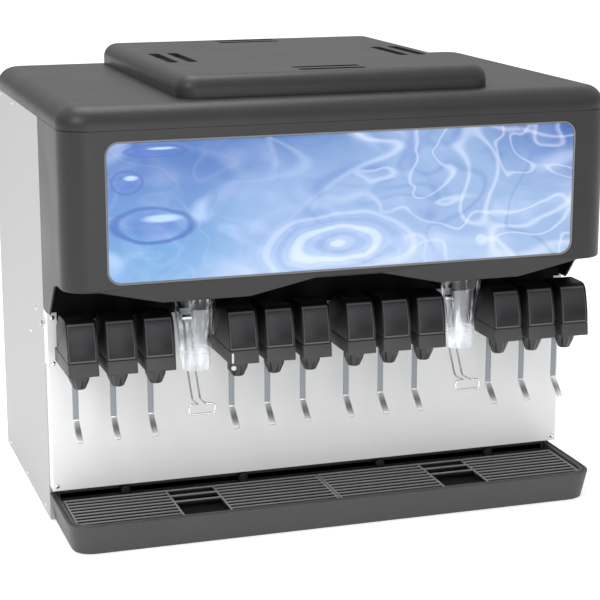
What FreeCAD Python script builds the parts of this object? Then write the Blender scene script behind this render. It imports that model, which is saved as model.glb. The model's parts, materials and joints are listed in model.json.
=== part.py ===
"""Countertop ice and soda dispenser with twelve valves and two ice chutes, in millimetres.

Frame: +X to the right seen from the front, +Y to the back, +Z up.  The origin lies on the counter,
half way between the front of the head and the back panel.  FRONT is the line where the side panels
begin; most places in Y are counted from it, minus towards the person who draws a drink.
"""
import FreeCAD, Part
import os
import re
import Sketcher

VEC = FreeCAD.Vector
SIZES = (
    ("cab_width", 1118, "cabinet over its side panels"),
    ("cab_depth", 546, "side panels, front edge to back"),
    ("cab_height", 830, "top of the side panels"),
    ("head_reach", 244, "head in front of the side panels"),
    ("tray_reach", 226, "drip tray's rim in front of the side panels"),
    ("wrap_depth", 39, "front panels in front of the side panels"),
    ("sheet_t", 2, "sheet metal of cabinet and panels"),
    ("foot_gap", 3, "side panels above the counter"),
    ("flange_width", 12, "inward flanges of the side panels"),
    ("fit_gap", 0.5, "gap between pieces that only lie beside each other"),
    ("base_height", 62, "walls of the base pan"),
    ("port_width", 420, "opening for the supply lines in the base pan"),
    ("port_depth", 60, "the same, front to back"),
    ("bolt_spread_x", 1000, "leg bolt holes, side to side"),
    ("bolt_spread_y", 440, "leg bolt holes, front to back"),
    ("bolt_hole_r", 5, "leg bolt holes and nut bores"),
    ("nut_flat", 19, "leg nuts across the flats"),
    ("nut_height", 10, "leg nuts"),
    ("splash_bottom", 74, "lower edge of the splash panel"),
    ("plate_bottom", 335, "lower edge of the valve plate"),
    ("plate_top", 446, "upper edge of the valve plate"),
    ("notch_drop", 18, "how much lower the valve plate is between its ends"),
    ("notch_side", 19, "high ends of the valve plate"),
    ("panel_lap", 10, "panels behind the valve plate"),
    ("upper_top", 506, "upper edge of the panel above the valve plate"),
    ("head_bottom", 448, "lower edge of the head beside the cabinet"),
    ("head_wall", 5, "wall of the moulded head"),
    ("head_corner", 55, "upright corners of the head"),
    ("lip_high", 527, "lower edge of the head's front"),
    ("lip_low", 496, "the same, where it dips round the ice chutes"),
    ("dip_flat", 173, "width of the flat of each dip"),
    ("dip_ramp", 126, "width of each ramp beside a dip"),
    ("arch_back", 62, "where the arch in the head's side begins"),
    ("arch_front", 125, "where the arch reaches its height"),
    ("arch_top", 518, "height of the arch"),
    ("graphic_width", 950, "lit graphic panel"),
    ("graphic_bottom", 542, "lower edge of the graphic"),
    ("graphic_top", 807, "upper edge of the graphic"),
    ("graphic_corner", 24, "corners of the graphic"),
    ("graphic_t", 3, "graphic panel"),
    ("graphic_inset", 2.5, "graphic panel behind the head's front"),
    ("bezel_width", 3.5, "frame round the graphic"),
    ("bezel_depth", 9, "frame round the graphic, front to back"),
    ("lamp_set", 62, "lamp tray behind the head's front"),
    ("lamp_tray_depth", 14, "flanges of the lamp tray"),
    ("lamp_r", 13, "lamp tubes"),
    ("lamp_length", 880, "lamp tubes between their holders"),
    ("lamp_spread", 120, "lamp tubes apart"),
    ("holder_width", 20, "lamp holders along the tube"),
    ("cover_height", 46, "top cover above the side panels"),
    ("cover_corner", 60, "upright corners of the top cover"),
    ("cover_edge", 38, "rounded top edges of the top cover"),
    ("cover_wall", 5, "wall of the top cover"),
    ("mouth_width", 560, "ice opening in the top cover"),
    ("mouth_depth", 390, "the same, front to back"),
    ("mouth_rise", 18, "rim round the ice opening"),
    ("lid_width", 640, "ice lid"),
    ("lid_front", 185, "ice lid's front, in front of the side panels"),
    ("lid_depth", 716, "ice lid, front to back"),
    ("lid_height", 44, "ice lid"),
    ("lid_corner", 40, "upright corners of the ice lid"),
    ("lid_edge", 28, "rounded top edges of the ice lid"),
    ("lid_wall", 4, "wall of the ice lid"),
    ("slot_width", 22, "grip slots in the ice lid"),
    ("slot_long", 190, "side slots"),
    ("slot_short", 140, "front and back slots"),
    ("slot_pitch", 40, "two slots of a pair"),
    ("slot_deep", 8, "slots"),
    ("slot_side_x", 248, "side pairs from the middle"),
    ("slot_side_y", 152, "side pairs behind the side panels' front"),
    ("slot_front_y", 118, "front pair in front of the side panels' front"),
    ("slot_back_y", 461, "back pair behind the side panels' front"),
    ("bin_width", 1020, "ice bin outside"),
    ("bin_set", 62, "ice bin behind the side panels' front"),
    ("bin_depth", 438, "ice bin outside"),
    ("bin_floor", 142, "underside of the ice bin"),
    ("bin_top", 816, "upper edge of the ice bin"),
    ("bin_wall", 3, "wall of the ice bin"),
    ("foam_t", 40, "insulation behind and beside the bin"),
    ("foam_floor", 64, "underside of the insulation"),
    ("plate_width", 900, "cold plate"),
    ("plate_depth", 410, "cold plate"),
    ("plate_t", 28, "cold plate"),
    ("wheel_z", 490, "agitator's axis above the counter"),
    ("wheel_r", 318, "agitator wheel"),
    ("wheel_ring", 16, "rim of the agitator wheel, in the wheel's plane"),
    ("wheel_t", 36, "agitator wheel along its axis"),
    ("wheel_gap", 12, "agitator wheel behind the bin's front wall"),
    ("wheel_hub_r", 40, "hub of the agitator wheel"),
    ("paddle_t", 14, "paddles of the wheel"),
    ("paddle_count", 8, "paddles of the wheel"),
    ("shaft_r", 11, "agitator shaft"),
    ("shaft_length", 370, "agitator shaft in the bin"),
    ("shaft_play", 0.08, "running clearance round the shaft"),
    ("rod_r", 7, "stirring rods on the shaft"),
    ("rod_length", 240, "stirring rods from the axis"),
    ("gearbox_size", 96, "gearbox, square"),
    ("gearbox_depth", 52, "gearbox along the shaft"),
    ("motor_r", 34, "motor can"),
    ("motor_length", 118, "motor can"),
    ("chute_x", 282.5, "ice chutes from the middle"),
    ("chute_y", 132, "ice chutes in front of the side panels' front"),
    ("chute_bottom", 336, "lower end of the ice chutes"),
    ("chute_neck", 372, "top of the straight part of the chutes"),
    ("chute_brim", 494, "top of the chutes"),
    ("chute_r", 30.5, "chutes at their lower end"),
    ("chute_brim_r", 45, "chutes at their top"),
    ("chute_wall", 2.5, "wall of the chutes"),
    ("window_width", 80, "ice window in the bin's front wall"),
    ("window_bottom", 570, "lower edge of the ice window"),
    ("window_height", 66, "ice window"),
    ("throat_wall", 3, "wall of the ice throats"),
    ("throat_drop", 60, "fall of the throats' floor"),
    ("throat_exit", 88, "outlet of the throats, front to back"),
    ("gate_t", 3, "sliding ice gates"),
    ("gate_lap", 8, "gate past the window on each side"),
    ("gate_lift", 70, "travel of the gates"),
    ("gate_gap", 0.5, "play of the gates, front and back"),
    ("stem_r", 5, "plunger on each gate"),
    ("coil_size", 44, "gate solenoids, square"),
    ("coil_height", 66, "gate solenoids"),
    ("valve_pitch", 75.8, "valves of a group apart"),
    ("group_inner", 122.7, "inner groups' middle from the centre line"),
    ("group_outer", 442.2, "outer groups' middle from the centre line"),
    ("valve_width", 59.5, "valves"),
    ("valve_reach", 195, "valve fronts in front of the side panels' front"),
    ("valve_bottom", 352, "underside of the valves"),
    ("valve_split", 379, "seam between valve body and cover"),
    ("valve_top", 459, "top of the valve covers"),
    ("valve_back", 72, "back of the valve covers"),
    ("valve_slope", 106, "where the cover's back slope meets its top"),
    ("valve_low_back", 427, "height of the cover's back edge"),
    ("cover_lean", 22, "cover's front leans back from seam to top"),
    ("shell_t", 2.5, "wall of the valve covers"),
    ("stand_width", 40, "block that carries each valve"),
    ("solenoid_r", 13, "valve solenoids"),
    ("solenoid_height", 34, "valve solenoids"),
    ("nozzle_y", 143, "nozzles in front of the side panels' front"),
    ("nozzle_r", 21.5, "nozzles at the top"),
    ("nozzle_tip_r", 12, "nozzles at the tip"),
    ("nozzle_skirt", 15, "upright part of the nozzles"),
    ("nozzle_length", 35, "nozzles"),
    ("nozzle_bore_r", 7, "recess in the nozzles' tip"),
    ("nozzle_bore_deep", 6, "the same"),
    ("lever_y", 96, "lever strips in front of the side panels' front"),
    ("lever_pivot_z", 345, "lever pins"),
    ("lever_bend_z", 236, "bend in the levers"),
    ("lever_tip_z", 200, "lower end of the levers"),
    ("lever_kick", 40, "lever tips in front of their bend"),
    ("lever_width", 12, "lever strips"),
    ("lever_t", 2.5, "lever strips"),
    ("hub_r", 5.5, "lever hubs"),
    ("pin_r", 2, "lever pins"),
    ("pin_play", 0.08, "running clearance round the pins"),
    ("ear_t", 3, "ears that carry the pins"),
    ("ear_gap", 0.5, "ears beside the hub"),
    ("bail_pivot_y", 62, "ice lever pins in front of the side panels' front"),
    ("bail_pivot_z", 422, "ice lever pins"),
    ("bail_r", 2, "wire of the ice levers"),
    ("bail_gap", 16, "two wires of an ice lever apart"),
    ("bail_knee_y", 98, "wires behind the chute"),
    ("bail_knee_z", 326, "the same, height"),
    ("bail_elbow_y", 134, "wires below the chute"),
    ("bail_elbow_z", 271, "the same, height"),
    ("bail_loop_y", 180, "loop that the cup presses"),
    ("bail_loop_z", 274, "loop's upper side"),
    ("bail_loop_width", 54, "loop"),
    ("bail_loop_height", 20, "loop"),
    ("bail_hub_r", 6, "hub of the ice levers"),
    ("tray_height", 60, "drip tray's rim"),
    ("tray_draft", 10, "tray's walls lean outwards by this"),
    ("tray_corner", 45, "front corners of the tray"),
    ("tray_rim", 16, "rim between tray's edge and cup rests"),
    ("tray_back", 6, "back wall of the tray"),
    ("tray_floor", 5, "floor of the tray"),
    ("tray_upstand", 69, "top of the tray's back wall"),
    ("ledge_z", 46, "ledge that carries the cup rests"),
    ("ledge_width", 9, "the same"),
    ("rest_height", 10, "cup rests"),
    ("rest_back", 46, "cup rests' back edge in front of the side panels' front"),
    ("rest_rows", 10, "bars of a cup rest"),
    ("bar_t", 4.5, "bars of a cup rest"),
    ("drop_from", 228, "drop zones' near side from the middle"),
    ("drop_to", 327, "drop zones' far side from the middle"),
    ("rest_lift", 100, "how far a cup rest lifts out"),
    ("knob_r", 10, "thumb screws"),
    ("knob_length", 15, "thumb screws' heads"),
    ("knob_z", 56.5, "thumb screws"),
    ("knob_inner_x", 153, "inner thumb screws from the middle"),
    ("knob_outer_x", 405, "outer thumb screws from the middle"),
    ("shank_r", 3, "thumb screws' shanks"),
    ("drain_x", 278, "drain left of the middle"),
    ("drain_y", 132, "drain in front of the side panels' front"),
    ("drain_r", 18, "drain flange"),
    ("drain_bore_r", 11, "drain bore"),
    ("tube_r", 4.5, "product tubes"),
    ("tube_y", 16, "upright part of the product tubes behind the side panels' front"),
    ("tube_top", 396, "where the product tubes enter the valves"),
    ("barb_r", 5.5, "barbs on the supply lines"),
    ("barb_length", 24, "barbs on the supply lines"),
    ("box_width", 300, "control box"),
    ("box_height", 120, "control box"),
    ("box_depth", 70, "control box"),
    ("inlet_width", 48, "power inlet"),
    ("inlet_height", 28, "power inlet"),
    ("inlet_z", 130, "power inlet above the counter"),
    ("inlet_x", 440, "power inlet from the middle"),
    ("key_y", 12, "key switch in front of the side panels' front"),
    ("key_z", 420, "key switch"),
    ("key_r", 10, "key switch flange"),
    ("key_bore_r", 6, "key barrel"),
    ("key_proud", 9, "key switch in front of the panel"),
    ("key_inside", 32, "key switch behind the panel"),
    ("screw_r", 5, "screw and rivet heads"),
    ("screw_head", 2.4, "screw and rivet heads"),
    ("button_r", 5, "water button"),
    ("button_travel", 4, "water button"),
    ("button_play", 0.1, "play round the water button's stem"),
)
NAMES = {name for name, value, note in SIZES}
WORD = re.compile(r"[a-z][a-z_0-9]*")

HALF = "(cab_width / 2)"
FRONT = "((head_reach - cab_depth) / 2)"
BACK = f"({FRONT} + cab_depth)"
HEAD_FRONT = f"({FRONT} - head_reach)"
PANEL = f"({FRONT} - wrap_depth)"
COVER_TOP = "(cab_height + cover_height)"
GROUPS = ("-group_outer", "-group_inner", "group_inner", "group_outer")
VALVES = [f"({group} + {step} * valve_pitch)" for group in GROUPS for step in (-1, 0, 1)]
WATER_VALVE = 3

doc = FreeCAD.newDocument("SodaDispenser")
sheet = doc.addObject("Spreadsheet::Sheet", "Sizes")
nodes = []


def fill_sheet():
    """Writes each size into a cell of its own, with its name and a note."""
    for row, (name, value, note) in enumerate(SIZES, start=1):
        sheet.set(f"A{row}", name)
        sheet.set(f"B{row}", str(value))
        sheet.set(f"C{row}", note)
        sheet.setAlias(f"B{row}", name)
    doc.recompute()


def sized(text):
    """Turns the size names in an expression into references to the sheet."""
    return WORD.sub(lambda word: f"Sizes.{word.group()}" if word.group() in NAMES else word.group(), str(text))


def number(text):
    """Value of an expression, for sizes that an object can't be bound to."""
    return float(sheet.evalExpression(sized(text)))


def drive(item, **fields):
    """Binds an object's properties to expressions; base_x, base_y and base_z are its place."""
    for field, text in fields.items():
        path = field.replace("base_", "Placement.Base.") if field.startswith("base_") else field
        item.setExpression(path, sized(text))
    return item


def node(label, item):
    """Marks an object as a sub-part of its own, under its file's name."""
    item.Label = label
    nodes.append(item)
    return item


# ---------------------------------------------------------------- primitives and booleans
def box(name, x_span, y_span, z_span):
    """Block between two places along each axis."""
    item = doc.addObject("Part::Box", name)
    spans = (("Length", "x", x_span), ("Width", "y", y_span), ("Height", "z", z_span))
    for side, axis, (low, high) in spans:
        drive(item, **{side: f"({high}) - ({low})", f"base_{axis}": low})
    return item


def round_bar(name, axis, place, radius, span, upper_radius=None):
    """Cylinder, or cone when it has an upper radius, along X, Y or Z through a place in the other two."""
    turns = {"x": (VEC(0, 1, 0), 90), "y": (VEC(1, 0, 0), -90), "z": (VEC(0, 0, 1), 0)}
    low, high = span
    item = doc.addObject("Part::Cone" if upper_radius else "Part::Cylinder", name)
    item.Placement.Rotation = FreeCAD.Rotation(*turns[axis])
    places = list(place)
    places.insert("xyz".index(axis), low)
    drive(item, Height=f"({high}) - ({low})", base_x=places[0], base_y=places[1], base_z=places[2])
    if upper_radius:
        return drive(item, Radius1=radius, Radius2=upper_radius)
    return drive(item, Radius=radius)


def ball(name, place, radius):
    """Sphere at a place."""
    item = doc.addObject("Part::Sphere", name)
    return drive(item, Radius=radius, base_x=place[0], base_y=place[1], base_z=place[2])


def hex_bar(name, place, flat, span):
    """Upright six-sided bar."""
    item = doc.addObject("Part::Prism", name)
    item.Polygon = 6
    low, high = span
    drive(item, Height=f"({high}) - ({low})", Circumradius=f"({flat}) / sqrt(3)")
    return drive(item, base_x=place[0], base_y=place[1], base_z=low)


def cut(name, base, *tools):
    """Base without the tools."""
    item = doc.addObject("Part::Cut", name)
    item.Base = base
    item.Tool = tools[0] if len(tools) == 1 else group(f"{name}Tools", *tools)
    return item


def fuse(name, *pieces):
    """One solid from touching pieces."""
    item = doc.addObject("Part::MultiFuse", name)
    item.Shapes = list(pieces)
    item.Refine = True
    return item


def group(name, *pieces):
    """Separate solids under one name."""
    item = doc.addObject("Part::Compound", name)
    item.Links = list(pieces)
    return item


def copy_at(name, original, **place):
    """Linked copy of an object at another place."""
    item = doc.addObject("App::Link", name)
    item.LinkedObject = original
    item.Placement = original.Placement
    return drive(item, **place)


def dispose(name, original, places):
    """The same piece at each place along X, as separate solids; the original sits at X = 0."""
    return group(name, *[copy_at(f"{name}{count:02d}", original, base_x=place)
                         for count, place in enumerate(places, start=1)])


# ---------------------------------------------------------------- sketches, pads and fillets
PLANES = {"XY": (0, 0, 0, 0), "XZ": (1, 0, 0, 90), "YZ": (1, 1, 1, 120)}


def draw(sketch, points):
    """Closed outline through the points, each held by expressions."""
    places = [VEC(number(across), number(up), 0) for across, up in points]
    count = len(points)
    for index in range(count):
        sketch.addGeometry(Part.LineSegment(places[index], places[(index + 1) % count]), False)
    for index in range(count):
        sketch.addConstraint(Sketcher.Constraint("Coincident", index, 2, (index + 1) % count, 1))
    for index, (pair, place) in enumerate(zip(points, places)):
        for kind, text, value in (("DistanceX", pair[0], place.x), ("DistanceY", pair[1], place.y)):
            row = sketch.addConstraint(Sketcher.Constraint(kind, -1, 1, index, 1, value))
            sketch.setExpression(f"Constraints[{row}]", sized(text))


def prism(name, plane, points, span):
    """Outline in one of the three planes, carried along the plane's third axis over the span."""
    sketch = doc.addObject("Sketcher::SketchObject", f"{name}Outline")
    x, y, z, turn = PLANES[plane]
    if turn:
        sketch.Placement.Rotation = FreeCAD.Rotation(VEC(x, y, z), turn)
    draw(sketch, points)
    item = doc.addObject("Part::Extrusion", name)
    item.Base = sketch
    item.DirMode = "Normal"
    item.Solid = True
    low, high = span
    forward, behind = (f"-({low})", high) if plane == "XZ" else (high, f"-({low})")
    return drive(item, LengthFwd=forward, LengthRev=behind)


def new_body(name):
    """Empty PartDesign body."""
    return doc.addObject("PartDesign::Body", name)


def body_sketch(body, plane, name, points, offset="0"):
    """Sketch on one of a body's own planes, moved along the plane's normal by the offset."""
    sketch = body.newObject("Sketcher::SketchObject", name)
    own_plane = [item for item in body.Origin.OriginFeatures if item.Role == f"{plane}_Plane"][0]
    sketch.AttachmentSupport = [(own_plane, "")]
    sketch.MapMode = "FlatFace"
    sketch.setExpression("AttachmentOffset.Base.z", sized(offset))
    draw(sketch, points)
    return sketch


def pad(body, sketch, length):
    """Adds the sketch carried along its normal."""
    item = body.newObject("PartDesign::Pad", f"{sketch.Name}Pad")
    item.Profile = sketch
    return drive(item, Length=length)


def corners(x_span, y_span):
    """Four corners of a rectangle, counter-clockwise."""
    return [(x_span[0], y_span[0]), (x_span[1], y_span[0]), (x_span[1], y_span[1]), (x_span[0], y_span[1])]


def fillet(body, radius, wanted):
    """Rounds the edges of the body that the test picks, given an edge's middle and direction."""
    doc.recompute()
    last = body.Tip
    picked = []
    for index, edge in enumerate(last.Shape.Edges, start=1):
        middle = edge.valueAt((edge.FirstParameter + edge.LastParameter) / 2)
        course = edge.tangentAt((edge.FirstParameter + edge.LastParameter) / 2)
        if wanted(middle, course):
            picked.append(f"Edge{index}")
    if not picked:
        raise ValueError(f"{body.Name} has no such edge to round")
    item = body.newObject("PartDesign::Fillet", f"{body.Name}Fillet{len(body.Group)}")
    item.Base = (last, picked)
    drive(item, Radius=radius)
    return item


def upright(course):
    """True for a course along Z."""
    return abs(course.z) > 0.99


def rounded_block(name, x_span, y_span, z_span, corner, edge=None):
    """Block with rounded upright corners and, if an edge radius is given, rounded top edges."""
    body = new_body(name)
    low, high = z_span
    pad(body, body_sketch(body, "XY", f"{name}Plan", corners(x_span, y_span), low), f"({high}) - ({low})")
    fillet(body, corner, lambda middle, course: upright(course))
    if edge:
        top = number(high)
        fillet(body, edge, lambda middle, course: abs(middle.z - top) < 0.01)
    return body


# ---------------------------------------------------------------- cabinet
def make_cabinet():
    """Base pan, nuts for legs, side panels and back panel."""
    inner = f"{HALF} - sheet_t"
    wall_y = f"{FRONT} + sheet_t + 1"
    back_y = f"{BACK} - sheet_t"
    shell = box("PanBlock", (f"-({inner})", inner), (wall_y, back_y), ("0", "base_height"))
    hollow = box("PanHollow", (f"-({inner}) + sheet_t", f"{inner} - sheet_t"),
                 (f"{wall_y} + sheet_t", f"{back_y} - sheet_t"), ("sheet_t", "base_height + 1"))
    port = box("PanPort", ("-port_width / 2", "port_width / 2"),
               (f"{wall_y} + 5", f"{wall_y} + 5 + port_depth"), ("-1", "sheet_t + 1"))
    holes = []
    nuts = []
    for count, (side, end) in enumerate(((-1, -1), (1, -1), (1, 1), (-1, 1)), start=1):
        place = (f"{side} * bolt_spread_x / 2", f"{FRONT} + cab_depth / 2 + {end} * bolt_spread_y / 2")
        holes.append(round_bar(f"PanHole{count}", "z", place, "bolt_hole_r", ("-1", "sheet_t + 1")))
        nut = hex_bar(f"NutBar{count}", place, "nut_flat", ("sheet_t", "sheet_t + nut_height"))
        bore = round_bar(f"NutBore{count}", "z", place, "bolt_hole_r", ("sheet_t - 1", "sheet_t + nut_height + 1"))
        nuts.append(cut(f"Nut{count}", nut, bore))
    shanks = [round_bar(f"PanShank{count}", "y", (place, "knob_z"), "shank_r",
                        (f"{wall_y} - 1", f"{wall_y} + sheet_t + 1"))
              for count, place in enumerate(knob_places(), start=1)]
    node("base_pan", cut("BasePan", shell, hollow, port, *holes, *shanks))
    node("leg_nuts", group("LegNuts", *nuts))

    for label, side in (("left_side_panel", -1), ("right_side_panel", 1)):
        name = label.title().replace("_", "")
        span = (f"-{HALF}", f"-{HALF} + sheet_t") if side < 0 else (f"{HALF} - sheet_t", HALF)
        fold = (f"-{HALF}", f"-{HALF} + flange_width") if side < 0 else (f"{HALF} - flange_width", HALF)
        skin = box(f"{name}Skin", span, (FRONT, BACK), ("foot_gap", "cab_height"))
        front_fold = box(f"{name}Fold", fold, (FRONT, f"{FRONT} + sheet_t"), ("foot_gap", "cab_height"))
        node(label, fuse(name, skin, front_fold))

    skin = box("BackSkin", (f"-({inner})", inner), (back_y, BACK), ("foot_gap", "cab_height"))
    inlet = box("BackInletHole", inlet_span("inlet_x", "inlet_width"), (f"{back_y} - 1", f"{BACK} + 1"),
                inlet_span("inlet_z", "inlet_height"))
    node("back_panel", cut("BackPanel", skin, inlet))


def inlet_span(middle, size):
    """Span of a size about its middle."""
    return (f"{middle} - {size} / 2", f"{middle} + {size} / 2")


def mirrored(sign, near, far):
    """Span between two distances from the middle, on the side that the sign gives."""
    return (near, far) if sign > 0 else (f"-({far})", f"-({near})")


def folded_panel(name, half, front, z_span):
    """Sheet panel whose two ends fold back to the side panels."""
    outer = box(f"{name}Block", (f"-({half})", half), (front, FRONT), z_span)
    inner = box(f"{name}Room", (f"-({half}) + sheet_t", f"{half} - sheet_t"), (f"{front} + sheet_t", f"{FRONT} + 1"),
                (f"{z_span[0]} - 1", f"{z_span[1]} + 1"))
    return cut(name, outer, inner)


def make_front_panels():
    """Splash panel, valve plate and the panel above it, one behind the other."""
    narrow = f"{HALF} - sheet_t"
    node("splash_panel", folded_panel("SplashPanel", narrow, f"{PANEL} + sheet_t",
                                      ("splash_bottom", "plate_bottom + panel_lap")))
    plate = folded_panel("PlateSheet", HALF, PANEL, ("plate_bottom", "plate_top"))
    holes = [round_bar(f"PlateHole{count:02d}", "y", (place, "tube_top"), "tube_r + fit_gap",
                       (f"{PANEL} - 1", f"{PANEL} + sheet_t + 1")) for count, place in enumerate(VALVES, start=1)]
    key = round_bar("PlateKeyHole", "x", (f"{FRONT} - key_y", "key_z"), "key_bore_r + 2",
                    (f"-{HALF} - 1", f"-{HALF} + sheet_t + 1"))
    notch = box("PlateNotch", (f"-{HALF} + notch_side", f"{HALF} - notch_side"),
                (f"{PANEL} - 1", f"{PANEL} + sheet_t + 1"), ("plate_top - notch_drop", "plate_top + 1"))
    node("valve_plate", cut("ValvePlate", plate, notch, key, *holes))
    node("upper_panel", box("UpperPanel", (f"-{HALF} + head_wall + fit_gap", f"{HALF} - head_wall - fit_gap"),
                            (f"{PANEL} + sheet_t", f"{PANEL} + 2 * sheet_t"),
                            ("plate_top - notch_drop - panel_lap", "upper_top")))


# ---------------------------------------------------------------- head and its graphic
def front_rounded(name, half, y_span, z_span, corner):
    """Block with rounded upright corners at its front only."""
    body = new_body(name)
    low, high = z_span
    pad(body, body_sketch(body, "XY", f"{name}Plan", corners((f"-({half})", half), y_span), low),
        f"({high}) - ({low})")
    front = number(y_span[0])
    fillet(body, corner, lambda middle, course: upright(course) and middle.y < front + 1)
    return body


def make_head():
    """Moulded head: a front and two sides, arched at the sides and dipped round the chutes."""
    outer = front_rounded("HeadOuter", HALF, (HEAD_FRONT, FRONT), ("head_bottom", "cab_height"), "head_corner")
    room = front_rounded("HeadRoom", f"{HALF} - head_wall", (f"{HEAD_FRONT} + head_wall", f"{FRONT} + 1"),
                         ("head_bottom - 1", "cab_height + 1"), "head_corner - head_wall")
    brow = f"{FRONT} - arch_front - 35"
    arch = prism("HeadArch", "YZ", [(f"{FRONT} - arch_back", "head_bottom - 1"),
                                   (f"{FRONT} - arch_back - 8", "head_bottom + 7"),
                                   (f"{FRONT} - arch_front", "arch_top"), (brow, "lip_high"),
                                   (brow, "head_bottom - 1")], (f"-{HALF} - 1", f"{HALF} + 1"))
    inner_foot = "chute_x - dip_flat / 2"
    outer_foot = "chute_x + dip_flat / 2"
    right = [(f"{inner_foot} - dip_ramp", "lip_high"), (inner_foot, "lip_low"), (outer_foot, "lip_low"),
             (f"{outer_foot} + dip_ramp", "lip_high"), (f"{HALF} + 1", "lip_high"), (f"{HALF} + 1", "head_bottom - 1")]
    left = [(f"-({across})", up) for across, up in reversed(right)]
    lip = prism("HeadLip", "XZ", right + left, (f"{HEAD_FRONT} - 1", brow))
    window = upright_plate("HeadWindow", "graphic_width / 2 + bezel_width + fit_gap",
                           ("graphic_bottom - bezel_width - fit_gap", "graphic_top + bezel_width + fit_gap"),
                           (f"{HEAD_FRONT} - 1", f"{HEAD_FRONT} + head_wall + 1"), "graphic_corner + bezel_width")
    node("head_housing", cut("HeadHousing", outer, room, arch, lip, window))


def upright_plate(name, half, z_span, y_span, corner):
    """Upright plate facing the front, with four rounded corners."""
    body = new_body(name)
    low, high = y_span
    face = body_sketch(body, "XZ", f"{name}Face", corners((f"-({half})", half), z_span), f"-({high})")
    pad(body, face, f"({high}) - ({low})")
    fillet(body, corner, lambda middle, course: abs(course.y) > 0.99)
    return body


def make_graphic():
    """Graphic panel, the frame round it, and the lamps behind it."""
    half = "graphic_width / 2"
    face = f"{HEAD_FRONT} + graphic_inset"
    node("graphic_panel", upright_plate("GraphicPanel", f"{half} - fit_gap / 2",
                                        ("graphic_bottom + fit_gap / 2", "graphic_top - fit_gap / 2"),
                                        (face, f"{face} + graphic_t"), "graphic_corner"))
    y_span = (f"{HEAD_FRONT} + 0.5", f"{HEAD_FRONT} + 0.5 + bezel_depth")
    outer = upright_plate("BezelOuter", f"{half} + bezel_width",
                          ("graphic_bottom - bezel_width", "graphic_top + bezel_width"), y_span,
                          "graphic_corner + bezel_width")
    inner = upright_plate("BezelInner", half, ("graphic_bottom", "graphic_top"),
                          (f"{y_span[0]} - 1", f"{y_span[1]} + 1"), "graphic_corner")
    node("graphic_frame", cut("GraphicFrame", outer, inner))

    wide = f"({HALF} - head_wall - 4)"
    sheet_y = f"{HEAD_FRONT} + lamp_set"
    z_span = ("graphic_bottom + 8", "graphic_top - 8")
    block = box("LampBlock", (f"-{wide}", wide), (f"{sheet_y} - lamp_tray_depth", f"{sheet_y} + sheet_t"), z_span)
    room = box("LampRoom", (f"-{wide} - 1", f"{wide} + 1"), (f"{sheet_y} - lamp_tray_depth - 1", sheet_y),
               (f"{z_span[0]} + sheet_t", f"{z_span[1]} - sheet_t"))
    tray = cut("LampTraySheet", block, room)
    lamps = []
    holders = []
    centre = "(graphic_bottom + graphic_top) / 2"
    for count, side in enumerate((-1, 1), start=1):
        place = (f"{sheet_y} - lamp_r - 4", f"{centre} + {side} * lamp_spread / 2")
        lamps.append(round_bar(f"Lamp{count}", "x", place, "lamp_r", ("-lamp_length / 2", "lamp_length / 2")))
        for end in (-1, 1):
            near = ("lamp_length / 2", "lamp_length / 2 + holder_width")
            far = ("-lamp_length / 2 - holder_width", "-lamp_length / 2")
            holders.append(box(f"Holder{count}{'LR'[end > 0]}", near if end > 0 else far,
                               (f"{sheet_y} - 2 * lamp_r - 6", f"{sheet_y} + sheet_t / 2"),
                               inlet_span(f"({place[1]})", "(2.4 * lamp_r)")))
    node("lamp_tubes", group("LampTubes", *lamps))
    node("lamp_tray", fuse("LampTray", tray, *holders))


# ---------------------------------------------------------------- top cover and ice lid
def mouth_spans():
    """Ice opening in the top cover, over the bin."""
    middle = f"({FRONT} + bin_set + bin_depth / 2)"
    return ("-mouth_width / 2", "mouth_width / 2"), (f"{middle} - mouth_depth / 2", f"{middle} + mouth_depth / 2")


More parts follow.
